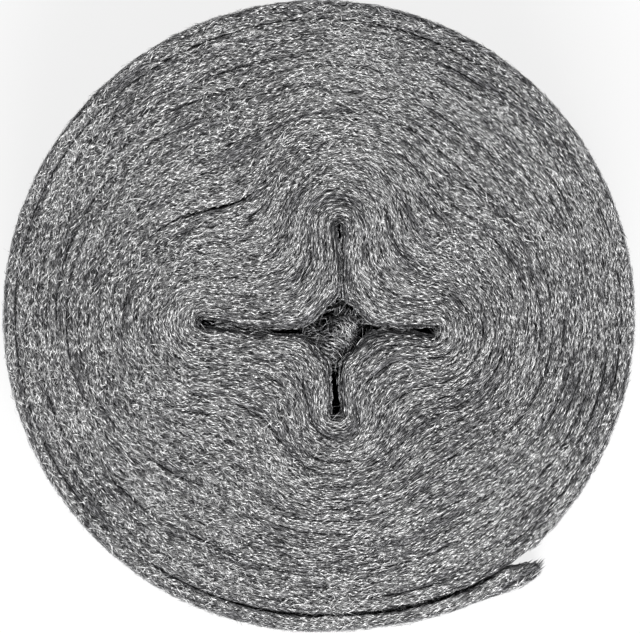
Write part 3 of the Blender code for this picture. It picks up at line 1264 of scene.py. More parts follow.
@dataclass
class EndFaceStrands:
    """Strands that lie over an end face of the roll, along the way that the ribbon runs.

    The sizes of streaks and of the lines' shade are a width across the turns, and how many
    times as long as wide they are. The shades say how much each takes off the tone. rooted is
    how deep strands start, tangled_by and loose_by are shares of the winding, and a sliver's
    lifts and tilt are shares of its family's lift.
    """

    winding: Winding
    relief: EndRelief
    width: float
    face: EndFace
    recipe: StrandRecipe
    edge_margin: float = 0.6 * MILLIMETRE
    scatter_span: float = 0.56
    scatter_margin: float = 1.04
    wander: float = 6.5
    combed: float = 0.3
    tangle: float = 1.4
    tangle_level: tuple[float, float] = (0.4, 0.55)
    tangle_to_left: float = 8.0
    tangled_by: float = 0.3
    loose_by: float = 0.08
    ruffle_cell: float = 20.0 * MILLIMETRE
    wander_cell: float = 3.2 * MILLIMETRE
    patches: float = 0.08
    patch_cells: tuple[float, float] = (5.0 * MILLIMETRE, 16.0 * MILLIMETRE)
    thin_streaks: float = 0.30
    thin_size: tuple[float, float] = (0.8 * MILLIMETRE, 14.0)
    broad_streaks: float = 0.24
    broad_size: tuple[float, float] = (1.9 * MILLIMETRE, 12.0)
    line_size: tuple[float, float] = (4.0 * MILLIMETRE, 8.0)
    line_shade: float = 0.16
    rim_line_shade: float = 0.20
    rim_from: float = 0.6
    rim_span: float = 0.35
    inner_round: float = 20.0 * MILLIMETRE
    round_growth: float = 0.7
    line_width: float = 0.6 * MILLIMETRE
    crease_shade: float = 0.6
    crease_width: float = 0.8 * MILLIMETRE
    lip_shade: float = 0.75
    lip_shade_depth: float = 1.2 * MILLIMETRE
    sinking: float = 1.1 * MILLIMETRE
    rooted: float = 0.1 * MILLIMETRE
    sliver_lifts: tuple[float, float] = (0.3, 0.8)
    sliver_tilt: float = 0.2
    spindle_tilt: float = 0.15 * MILLIMETRE
    look_ahead: float = 0.8 * MILLIMETRE
    most_bend: float = 500.0
    # Painted light and shade: broad patches, brighter or darker as the light falls on the wool.
    painted_light_patches: tuple[Patch, ...] = (
        Patch((0.009, 0.087), (0.022, 0.016), 0.20),
        Patch((0.056, 0.062), (0.014, 0.014), 0.14),
        Patch((0.007, 0.050), (0.008, 0.006), 0.24),
        Patch((-0.031, 0.016), (0.022, 0.009), 0.24),
        Patch((0.033, 0.011), (0.018, 0.007), 0.24),
        Patch((-0.052, 0.051), (0.013, 0.010), 0.16),
        Patch((0.009, -0.101), (0.014, 0.008), 0.20),
        Patch((-0.040, -0.066), (0.022, 0.012), 0.12),
        Patch((-0.010, 0.044), (0.009, 0.010), -0.16),
        Patch((-0.028, 0.059), (0.010, 0.009), -0.14),
        Patch((-0.091, 0.020), (0.018, 0.024), -0.12),
        Patch((0.056, -0.033), (0.013, 0.010), -0.16),
        Patch((0.092, -0.020), (0.012, 0.030), -0.14),
        Patch((-0.073, -0.028), (0.013, 0.012), -0.12),
        Patch((-0.084, -0.066), (0.020, 0.018), -0.18),
        Patch((0.052, 0.095), (0.018, 0.010), -0.18),
    )
    part_table: np.ndarray = field(init=False)
    outer_edge: np.ndarray = field(init=False)
    tail_edge: np.ndarray = field(init=False)
    body_edge: np.ndarray = field(init=False)

    def __post_init__(self) -> None:
        """Tables of the edges that bound the wool in each direction."""
        self.part_table = np.linspace(0.0, 1.0, PLACES_ROUND)
        turns = self.winding.turns
        self.outer_edge = self.winding.face_radius(turns, self.part_table, Side.INSIDE)
        self.tail_edge = self.winding.face_radius(turns - 1, self.part_table, Side.OUTSIDE)
        self.body_edge = self.winding.face_radius(turns - 1, self.part_table, Side.INSIDE)

    def in_wool(self, x: np.ndarray, y: np.ndarray) -> np.ndarray:
        """Whether each point lies in the ribbon and not in the hollow or a gap.

        Args:
            x: plain plan coordinate.
            y: plain plan coordinate.

        Returns:
            True for each point in the wool.
        """
        part = self.winding.part_of(np.degrees(np.arctan2(y, x)))
        radius = np.hypot(x, y)
        inside = radius < np.interp(part, self.part_table, self.outer_edge)
        in_gap = ((radius > np.interp(part, self.part_table, self.body_edge))
                  & (radius < np.interp(part, self.part_table, self.tail_edge)))
        depth = self.winding.depth_at(self.winding.share_at(x, y))
        return inside & ~in_gap & (depth > self.edge_margin)

    def scatter(self, rng: np.random.Generator, count: int) -> tuple[np.ndarray, np.ndarray]:
        """Even random plain plan points in the wool.

        Twice as many points as are wanted, and some, are tried over a square round the roll.

        Args:
            rng: source of the random values.
            count: how many points are wanted.

        Returns:
            The two coordinates of the points.
        """
        span = self.scatter_span * self.winding.diameter
        x, y = self.scatter_margin * rng.uniform(-span, span, (2, 2 * count + 400))
        x, y = x - self.winding.hollow_place[0], y - self.winding.hollow_place[1]
        kept = self.in_wool(x, y)
        x, y = x[kept][:count], y[kept][:count]
        if len(x) < count:
            more_x, more_y = self.scatter(rng, count - len(x))
            x, y = np.concatenate((x, more_x)), np.concatenate((y, more_y))
        return x, y

    def disorder(self, x: np.ndarray, y: np.ndarray, share: np.ndarray) -> np.ndarray:
        """How ruffled the wool is.

        It is combed beside the hollow, and tangled in patches away from it, more of them to
        the left than to the right.

        Args:
            x: plain plan coordinate.
            y: plain plan coordinate.
            share: share of the winding inside each place.

        Returns:
            What the headings' spread is multiplied by, from 0.3 to 2.
        """
        level, change = self.tangle_level
        patch = value_noise(x, y, self.ruffle_cell, Noise.RUFFLES) - self.tangle_to_left * x
        tangled = smooth_step(level + change * patch) * smooth_step(share / self.tangled_by)
        beside = smooth_step(share / self.loose_by)
        return self.combed + self.combed * beside + self.tangle * tangled

    def shade(self, x: np.ndarray, y: np.ndarray, share: np.ndarray) -> np.ndarray:
        """Change of tone from place to place, most of it painted light and shade.

        Broad patches are brighter or darker, as painted light and shade where the wool stands
        a little higher or lower. Streaks of two widths, many times as long as wide, run as the
        ribbon does. Close to a line between turns, painted shade darkens the strands where less
        light gets in, more so near the rim and most along the creases, and towards the hollow's
        lips as well.

        Args:
            x: plain plan coordinate.
            y: plain plan coordinate.
            share: share of the winding inside each place.

        Returns:
            What is added to the tone of the strands there.
        """
        close_cell, wide_cell = self.patch_cells
        patch = (value_noise(x, y, close_cell, Noise.CLOSE_PATCHES)
                 + value_noise(x, y, wide_cell, Noise.WIDE_PATCHES))
        depth = self.winding.depth_at(share)
        along = self.way_round(x, y)
        width, stretch = self.thin_size
        thin = value_noise(depth, along / stretch, width, Noise.THIN_STREAKS)
        width, stretch = self.broad_size
        wide = value_noise(depth, along / stretch, width, Noise.WIDE_STREAKS)
        streaks = self.thin_streaks * thin + self.broad_streaks * wide
        line = self.painted_line_shade(x, y, share, along)
        lip = self.lip_shade * np.exp(-depth / self.lip_shade_depth)
        return self.patches * patch + self.painted_light_and_shade(x, y) + streaks - line - lip

    def way_round(self, x: np.ndarray, y: np.ndarray) -> np.ndarray:
        """How far round the winding places are: an angle times a length that grows slowly."""
        return np.arctan2(y, x) * (self.inner_round + self.round_growth * np.hypot(x, y))

    # Painted shade close to the lines between turns and along the creases.
    def painted_line_shade(self, x: np.ndarray, y: np.ndarray, share: np.ndarray,
                      along: np.ndarray) -> np.ndarray:
        """How much darker it is close to the lines between turns, and along the creases.

        Across a line or crease the darkness is a bell. Along the lines it comes and goes with
        a value noise, and along a crease it follows the root of a half sine wave.

        Args:
            x: plain plan coordinate.
            y: plain plan coordinate.
            share: share of the winding inside each place.
            along: how far round the winding each place is.

        Returns:
            What the line takes off the tone of the strands there.
        """
        winding = self.winding
        _, across = winding.turn_at(x, y)
        to_line = np.minimum(across, 1.0 - across) * winding.thickness
        depth = winding.depth_at(share)
        width, stretch = self.line_size
        noise = value_noise(depth, along / stretch, width, Noise.LINES)
        comes_and_goes = 0.5 + 0.5 * noise
        near_rim = smooth_step((share - self.rim_from) / self.rim_span)
        line = ((self.line_shade + self.rim_line_shade * near_rim)
                * comes_and_goes * np.exp(-(to_line / self.line_width) ** 2))
        part = winding.part_of(np.degrees(np.arctan2(y, x)))
        for crease in winding.creases[:2]:
            start, end = winding.part_of(crease.first), winding.part_of(crease.last)
            open_here = np.sin(math.pi * np.clip((part - start) / (end - start), 0.0, 1.0))
            offset = (share - winding.turn_share(crease.line, part)) * winding.turns
            away = offset * winding.thickness / self.crease_width
            line = line + self.crease_shade * np.sqrt(open_here) * np.exp(-away ** 2)
        return line

    def painted_light_and_shade(self, x: np.ndarray, y: np.ndarray) -> np.ndarray:
        """Painted light and shade of the broad patches, each a bell in both directions.

        Args:
            x: plain plan coordinate.
            y: plain plan coordinate.

        Returns:
            What the patches add to the tone of the strands there, as painted light and shade.
        """
        placed_x, placed_y = x - self.winding.middle[0], y - self.winding.middle[1]
        broad = np.zeros_like(x)
        for patch in self.painted_light_patches:
            run_x = (placed_x - patch.place[0]) / patch.size[0]
            run_y = (placed_y - patch.place[1]) / patch.size[1]
            broad = broad + patch.tone * np.exp(-run_x ** 2 - run_y ** 2)
        return broad

    def paths(self, rng: np.random.Generator, x: np.ndarray, y: np.ndarray,
              share: np.ndarray, shade: np.ndarray) -> np.ndarray:
        """Paths of the strands about their middles, laid on the end face's relief.

        Args:
            rng: source of the random values.
            x: plain plan coordinate of each strand's middle.
            y: plain plan coordinate of each strand's middle.
            share: share of the winding inside each middle.
            shade: change of tone there; where it is dark, strands lie deeper.

        Returns:
            Placed points, with strand, point and coordinate as axes.
        """
        recipe, count, reach = self.recipe, len(x), self.look_ahead
        flow = self.winding.flow_at(x, y)
        ahead = self.winding.flow_at(x + reach * np.cos(flow), y + reach * np.sin(flow))
        flow_bend = ((ahead - flow + math.pi) % (2.0 * math.pi) - math.pi) / reach
        disorder = self.disorder(x, y, share)
        wander = self.wander * value_noise(x, y, self.wander_cell, Noise.WANDER)
        stray = recipe.spread * rng.normal(0.0, 1.0, count) + wander
        heading = flow + np.radians(stray * disorder)
        flow_bend = np.clip(flow_bend, -self.most_bend, self.most_bend)
        bend = flow_bend + rng.normal(0.0, recipe.bend, count)
        run_x, run_y = bent_paths(recipe.lengths(rng, count), heading, bend, recipe.points)
        path_x, path_y = x[:, None] + run_x, y[:, None] + run_y
        _, across = self.winding.turn_at(path_x, path_y)
        depth = self.winding.depth_at(self.winding.share_at(path_x, path_y))
        placed = self.winding.placed(np.stack((path_x, path_y), axis=-1))
        away = 0.0 if self.face is EndFace.UPPER else LOWER_RELIEF_AWAY
        height = self.relief.height(placed[..., 0] + away, placed[..., 1], across, depth)
        t = recipe.along()
        if recipe.points == 2:
            raised = recipe.lift * rng.uniform(*self.sliver_lifts, count)[:, None]
            tilt = self.sliver_tilt * recipe.lift
        else:
            arch = np.abs(rng.normal(*ARCH, count))[:, None]
            raised, tilt = recipe.lift * arch * (1.0 - t ** 2), self.spindle_tilt
        height = height + raised + tilt * rng.normal(0.0, 1.0, count)[:, None] * t
        height = height - self.rooted - self.sinking * np.maximum(-shade, 0.0)[:, None]
        if self.face is EndFace.UPPER:
            level = self.width + height
        else:
            level = np.maximum(-height, RADIUS_RANGE[1] * recipe.radius)
        return np.concatenate((placed, level[..., None]), axis=-1)

    def build(self, material: bpy.types.Material) -> bpy.types.Object:
        """Builds the family as one piece, its tones changed by the shade of each place.

        A family that gathers has more of its strands where the shade is bright.

        Args:
            material: finish of the strands.

        Returns:
            The piece.
        """
        recipe = self.recipe
        rng = np.random.default_rng(recipe.seed)
        x, y = self.scatter(rng, round(recipe.count * (1.0 + recipe.gather)))
        share = self.winding.share_at(x, y)
        shade = self.shade(x, y, share)
        if recipe.gather > 0.0:
            weight = np.exp(GATHERING * shade) * rng.random(len(x)) ** 0.5
            kept = np.sort(np.argsort(weight)[len(x) - recipe.count:])
            x, y, share, shade = x[kept], y[kept], share[kept], shade[kept]
        paths = self.paths(rng, x, y, share, shade)
        tones = recipe.tones(rng, recipe.count) + shade
        roll = 0.0 if self.face is EndFace.UPPER else math.pi
        return recipe.piece(rng, paths, roll, material, tones)


@dataclass
class Track:
    """A line along a wall of the ribbon, by its length, with the way that the wall looks."""

    points: np.ndarray
    outward: int
    lengths: np.ndarray = field(init=False)
    normals: np.ndarray = field(init=False)

    def __post_init__(self) -> None:
        """Lengths along the line and the direction square to it."""
        steps = np.linalg.norm(np.diff(self.points, axis=0), axis=1)
        self.lengths = np.concatenate(([0.0], np.cumsum(steps)))
        way = unit(np.gradient(self.points, axis=0))
        self.normals = self.outward * np.stack((way[:, 1], -way[:, 0]), axis=-1)

    def at(self, length: np.ndarray, off: np.ndarray) -> np.ndarray:
        """Plan points at lengths along the line, moved off the wall.

        Args:
            length: length along the line to each point.
            off: distance of each point from the wall.

        Returns:
            The points, with x and y on the last axis.
        """
        place = [np.interp(length, self.lengths, self.points[:, axis]) for axis in (0, 1)]
        normal = [np.interp(length, self.lengths, self.normals[:, axis]) for axis in (0, 1)]
        return np.stack([place[axis] + off * normal[axis] for axis in (0, 1)], axis=-1)


@dataclass
class WallStrands:
    """Strands that lie on a wall of the ribbon, mostly along it, and start in the wool."""

    track: Track
    lowest: float
    highest: float
    recipe: StrandRecipe
    crowd_top: float = 1.0
    sliver_lift: float = 0.6
    tilt: float = 0.2 * MILLIMETRE
    rooted: float = 0.05 * MILLIMETRE

    def build(self, material: bpy.types.Material) -> bpy.types.Object:
        """Builds the family as one piece: arcs over the wall's length and height.

        Args:
            material: finish of the strands.

        Returns:
            The piece.
        """
        recipe, count = self.recipe, self.recipe.count
        rng = np.random.default_rng(recipe.seed)
        length = recipe.lengths(rng, count)
        margin = 0.5 * length
        middle = margin + rng.random(count) * (self.track.lengths[-1] - 2.0 * margin)
        level = self.lowest + (self.highest - self.lowest) * rng.random(count) ** self.crowd_top
        heading = np.radians(recipe.spread) * rng.normal(0.0, 1.0, count)
        bend = rng.normal(0.0, recipe.bend, count)
        run, rise = bent_paths(length, heading, bend, recipe.points)
        t = recipe.along()
        lift = recipe.lift * np.abs(rng.normal(*ARCH, count))[:, None]
        raised = self.sliver_lift * lift if recipe.points == 2 else lift * (1.0 - t ** 2)
        tilt = self.tilt * rng.normal(0.0, 1.0, count)[:, None] * t
        plan = self.track.at(middle[:, None] + run, raised + tilt - self.rooted)
        height = np.clip(level[:, None] + rise, self.lowest, self.highest)
        paths = np.concatenate((plan, height[..., None]), axis=-1)
        return recipe.piece(rng, paths, 0.5 * math.pi * self.track.outward, material)


@dataclass
class RimFuzz:
    """Loose ends that stand out of the outer face and soften the roll's outline.

    leaving is the angle at which they leave the wall, in degrees, and leaving_range its least
    and most. rooted is how deep in the wool they start, and covered is the share of the
    wall's height, from the top, that has them. curl and slope are shares of a length.
    """

    track: Track
    width: float
    recipe: StrandRecipe
    leaving: tuple[float, float] = (24.0, 16.0)
    leaving_range: tuple[float, float] = (4.0, 75.0)
    rooted: float = 0.4 * MILLIMETRE
    over_edge: float = 0.6 * MILLIMETRE
    covered: float = 0.98
    curl: float = 0.35
    slope: float = 0.25

    def build(self, material: bpy.types.Material) -> bpy.types.Object:
        """Builds the loose ends: each starts in the wool and leaves it at a low angle.

        A run along the wall and a parabola off it give each one's plan, and there are more of
        them the closer to the upper edge.

        Args:
            material: finish of the loose ends.

        Returns:
            The piece.
        """
        recipe, count = self.recipe, self.recipe.count
        rng = np.random.default_rng(recipe.seed)
        length = recipe.lengths(rng, count)
        start = length + rng.random(count) * (self.track.lengths[-1] - 2.0 * length)
        level = self.width * (1.0 - rng.random(count) ** 2 * self.covered) - self.rooted
        t = np.linspace(0.0, 1.0, recipe.points)[None, :]
        forward = np.where(rng.random(count) < 0.5, -1.0, 1.0)
        leaving = np.clip(rng.normal(*self.leaving, count), *self.leaving_range)
        leave = np.radians(leaving)[:, None]
        curl = rng.normal(0.0, self.curl, count)[:, None]
        run = length[:, None] * t * np.cos(leave) * forward[:, None]
        off = length[:, None] * (t * np.sin(leave) + curl * t ** 2 * 0.5) - self.rooted
        rise = length[:, None] * rng.normal(0.0, self.slope, count)[:, None] * t
        plan = self.track.at(start[:, None] + run, np.minimum(off, recipe.lift))
        height = np.clip(level[:, None] + rise, recipe.radius, self.width + self.over_edge)
        paths = np.concatenate((plan, height[..., None]), axis=-1)
        return recipe.piece(rng, paths, 0.0, material)


@dataclass
class SlitStrands:
    """Strands that cross the hollow's slits, which look hazy for them, and fewer at the ends.

    Each slit has a share of the strands, and the part of its length that they keep to.
    """

    winding: Winding
    width: float
    recipe: StrandRecipe
    shares: tuple[float, ...] = (0.20, 0.18, 0.58, 0.04)
    spans: tuple[tuple[float, float], ...] = (
        (0.46, 0.74), (0.30, 0.76), (0.50, 0.98), (0.28, 0.70))
    overlap: float = 0.5 * MILLIMETRE
    shallowest: float = 0.2 * MILLIMETRE
    depth_spread: float = 1.6 * MILLIMETRE

    def build(self, material: bpy.types.Material) -> bpy.types.Object:
        """Builds the family: arcs about random places along each slit's middle line.

        Args:
            material: finish of the strands.

        Returns:
            The piece.
        """
        recipe = self.recipe
        rng = np.random.default_rng(recipe.seed)
        centres, headings = [], []
        for slit, share, span in zip(self.winding.slits, self.shares, self.spans):
            count = round(share * recipe.count)
            along = slit.length * rng.uniform(*span, count)
            turn = math.radians(slit.direction)
            way = np.array((math.cos(turn), math.sin(turn)))
            side = np.array((-way[1], way[0]))
            middle = self.winding.settled(along[:, None] * way)
            off = (slit.middle_width + self.overlap) * rng.uniform(-1.0, 1.0, count)
            centres.append(middle + off[:, None] * side)
            headings.append(turn + np.radians(recipe.spread) * rng.normal(0.0, 1.0, count))
        centre, heading = np.concatenate(centres), np.concatenate(headings)
        count = len(centre)
        length = recipe.lengths(rng, count)
        bend = rng.normal(0.0, recipe.bend, count)
        run_x, run_y = bent_paths(length, heading, bend, recipe.points)
        run = np.stack((run_x, run_y), axis=-1)
        plan = centre[:, None, :] + run - self.winding.middle
        depth = self.shallowest + np.abs(rng.normal(0.0, self.depth_spread, count))
        rise = recipe.lift * rng.normal(0.0, 1.0, count)[:, None] * recipe.along()
        height = self.width - np.maximum(depth[:, None] + rise, 0.0)
        paths = np.concatenate((plan, height[..., None]), axis=-1)
        return recipe.piece(rng, paths, 0.0, material)


# ---- The tuft


@dataclass(frozen=True)
class Lump:
    """One rounded lump of the tuft: its plan place, radius, half height and depth of its top."""

    place: tuple[float, float]
    radius: float
    half_height: float
    depth: float


@dataclass
class Tuft:
    """The ribbon's inner end, balled up in the hollow below the upper end face.

    Its strands wind about an axis that leans lean degrees from upright, towards the direction
    lean_towards. Their headings stray by up to bundle_turn radians from bundle to bundle, and
    their middles keep between two cosines of the angle from that axis. shaded_below is a depth
    in millimetres.
    """

    winding: Winding
    width: float
    recipe: StrandRecipe
    lumps: tuple[Lump, ...] = (
        Lump((0.0019, 0.0002), 0.0054, 0.014, 0.0030),
        Lump((-0.0025, -0.0062), 0.0049, 0.013, 0.0040),
        Lump((-0.0086, -0.0033), 0.0031, 0.011, 0.0055),
        Lump((0.0035, -0.0055), 0.0044, 0.014, 0.0070),
    )
    blend: float = 0.25
    strand_turn: float = 5.0 * MILLIMETRE
    cosines: tuple[float, float] = (-0.9, 0.95)
    least_sine: float = 0.25
    down_share: float = 0.6
    arch: tuple[float, float] = (0.5, 0.6)
    most_raised: float = 0.5 * MILLIMETRE
    rooted: float = 0.05 * MILLIMETRE
    bundle_turn: float = 0.8
    lean: float = 62.0
    lean_towards: float = 235.0
    depth_shade: float = 0.22
    shaded_below: float = 3.0
    loose_radius: float = 14.0 * MILLIMETRE
    loose_depths: tuple[float, float] = (3.0 * MILLIMETRE, 9.0 * MILLIMETRE)
    loose_cover: float = 1.5 * MILLIMETRE
    loose_slope: float = 0.5
    fold: float = 0.35 * MILLIMETRE
    folds_round: float = 6.0
    folds_per_mm: float = 0.5
    flow_radius_mm: float = 5.0
    farthest: float = 24.0 * MILLIMETRE
    halvings: int = 26
    rows: int = 56
    columns: int = 72
    heart: np.ndarray = field(init=False)

    def __post_init__(self) -> None:
        """The point that the surface is worked out about, inside the two largest lumps."""
        place = 0.5 * (np.array(self.lumps[0].place) + np.array(self.lumps[1].place))
        depth = self.lumps[0].depth + self.lumps[0].half_height
        self.heart = np.array((place[0], place[1], self.width - depth))

    def inside(self, points: np.ndarray) -> np.ndarray:
        """How far inside the lumps points are.

        It is a soft maximum, over the lumps, of one less the squared distance from the lump's
        middle in units of its half sizes.

        Args:
            points: plain points, with the coordinate on the last axis.

        Returns:
            More than 0 for each point inside.
        """
        depths = []
        for lump in self.lumps:
            centre = np.array((*lump.place, self.width - lump.depth - lump.half_height))
            size = np.array((lump.radius, lump.radius, lump.half_height))
            depths.append(1.0 - (((points - centre) / size) ** 2).sum(axis=-1))
        stack = np.stack(depths)
        most = stack.max(axis=0)
        return most + self.blend * np.log(np.exp((stack - most) / self.blend).sum(axis=0))

    def leaning(self, way: np.ndarray) -> np.ndarray:
        """Turns directions about a level line, so that straight up leans over.

        Each direction is split along the leaning side, across it and up; the parts along the
        side and up turn in their own plane.

        Args:
            way: directions, one in each row.

        Returns:
            The turned directions.
        """
        angle, side = math.radians(self.lean), math.radians(self.lean_towards)
        towards = np.array((math.cos(side), math.sin(side), 0.0))
        across = np.array((-math.sin(side), math.cos(side), 0.0))
        along = way @ towards
        up = way[..., 2]
        turned_along = along * math.cos(angle) + up * math.sin(angle)
        turned_up = up * math.cos(angle) - along * math.sin(angle)
        level = turned_along[..., None] * towards + (way @ across)[..., None] * across
        return level + turned_up[..., None] * np.array((0.0, 0.0, 1.0))

    def surface(self, down: np.ndarray, around: np.ndarray,
                leans: bool = False) -> np.ndarray:
        """Points of the surface on rays from the heart, found by halving.

        Args:
            down: angle of each ray from the axis, in radians.
            around: angle of each ray about the axis, in radians.
            leans: whether the axis leans over; it is upright where not.

        Returns:
            Plain points, with the heart's height.
        """
        way = np.stack((np.sin(down) * np.cos(around), np.sin(down) * np.sin(around),
                        np.cos(down)), axis=-1)
        if leans:
            way = self.leaning(way)
        low, high = np.zeros(down.shape), np.full(down.shape, self.farthest)
        for _ in range(self.halvings):
            middle = 0.5 * (low + high)
            within = self.inside(self.heart + middle[..., None] * way) > 0.0
            low = np.where(within, middle, low)
            high = np.where(within, high, middle)
        return self.heart + low[..., None] * way

    def placed(self, points: np.ndarray) -> np.ndarray:
        """Moves plain points to the roll's own middle."""
        return points - np.array((*self.winding.middle, 0.0))

    def build_body(self, material: bpy.types.Material) -> bpy.types.Object:
        """Builds the lumps' common surface on a grid of two angles, with small folds.

        A value noise moves each point of the surface towards the heart or away from it.

        Args:
            material: the finish of packed wool.

        Returns:
            The piece.
        """
        down = np.linspace(0.0, math.pi, self.rows)[1:-1]
        around = np.linspace(0.0, 2.0 * math.pi, self.columns, endpoint=False)
        grid_down, grid_around = np.meshgrid(down, around, indexing="ij")
        points = self.surface(grid_down, grid_around)
        fold_height = points[..., 2] / MILLIMETRE * self.folds_per_mm
        fold = value_noise(grid_around * self.folds_round, fold_height, 1.0, Noise.FOLDS)
        points = points + (self.fold * fold)[..., None] * unit(points - self.heart)
        top = self.surface(np.array([0.0]), np.array([0.0]))
        bottom = self.surface(np.array([math.pi]), np.array([0.0]))
        vertices = self.placed(np.concatenate((points.reshape(-1, 3), top, bottom)))
        triangles = capped_grid(*grid_down.shape)
        piece = make_mesh("tuft", vertices, triangles)
        turn = np.arctan2(vertices[:, 1] - vertices[-1, 1], vertices[:, 0] - vertices[-1, 0])
        flow = np.stack((turn * self.flow_radius_mm, vertices[:, 2] / MILLIMETRE), axis=1)
        layer = piece.data.uv_layers.new(name="flow")
        layer.data.foreach_set("uv", flow[triangles.ravel()].astype(np.float32).ravel())
        piece.data.materials.append(material)
        return piece

    def build_strands(self, material: bpy.types.Material) -> bpy.types.Object:
        """Builds the tuft's strands, which wind about its leaning axis and over its top.

        Each is an arc in the two angles about that axis, laid on the surface.

        Args:
            material: finish of the strands.

        Returns:
            The piece.
        """
        recipe = self.recipe
        count = recipe.count
        rng = np.random.default_rng(recipe.seed)
        down = np.arccos(rng.uniform(*self.cosines, count))
        around = rng.uniform(0.0, 2.0 * math.pi, count)
        size = self.strand_turn
        bundles = value_noise(2.0 * around, 2.0 * down, 1.0, Noise.BUNDLES)
        heading = np.radians(recipe.spread) * rng.normal(0.0, 1.0, count)
        heading = heading + self.bundle_turn * bundles
        bend = rng.normal(0.0, recipe.bend, count)
        length = recipe.lengths(rng, count)
        run, rise = bent_paths(length / size, heading, bend * size, recipe.points)
        path_down = down[:, None] + rise * self.down_share
        sine = np.maximum(np.sin(down), self.least_sine)
        path_around = around[:, None] + run / sine[:, None]
        t = recipe.along()
        arch = recipe.lift * np.abs(rng.normal(*self.arch, count))[:, None] * (1.0 - t ** 2)
        points = self.surface(path_down, path_around, True)
        raised = arch + self.most_raised * rng.random(count)[:, None] - self.rooted
        points = points + raised[..., None] * unit(points - self.heart)
        depth = (self.width - points[:, recipe.points // 2, 2]) / MILLIMETRE
        deeper = np.maximum(depth - self.shaded_below, 0.0)
        tones = recipe.tones(rng, count) - self.depth_shade * deeper
        return recipe.piece(rng, self.placed(points), 0.0, material, tones)

    def build_loose(self, recipe: StrandRecipe,
                    material: bpy.types.Material) -> bpy.types.Object:
        """Builds loose strands that cross the hollow beside the tuft, below the end face.

        Their middles are spread evenly over a disc about the hollow's middle, and they lie any
        way; those that would be in the wool about the hollow are out of sight there.

        Args:
            recipe: how the strands are drawn.
            material: their finish.

        Returns:
            The piece.
        """
        count = recipe.count
        rng = np.random.default_rng(recipe.seed)
        radius = self.loose_radius * np.sqrt(rng.random(count))
        around = rng.uniform(0.0, 2.0 * math.pi, count)
        centre = np.stack((radius * np.cos(around), radius * np.sin(around)), axis=-1)
        heading = rng.uniform(0.0, math.pi, count)
        bend = rng.normal(0.0, recipe.bend, count)
        run_x, run_y = bent_paths(recipe.lengths(rng, count), heading, bend, recipe.points)
        plan = centre[:, None, :] + np.stack((run_x, run_y), axis=-1)
        depth = rng.uniform(*self.loose_depths, count)[:, None]
        slope = recipe.lift * rng.normal(0.0, self.loose_slope, count)[:, None]
        height = self.width - depth + slope * recipe.along()
        height = np.minimum(height, self.width - self.loose_cover)
        points = np.concatenate((plan, height[..., None]), axis=-1)
        return recipe.piece(rng, self.placed(points), 0.0, material)


# ---- The whole roll


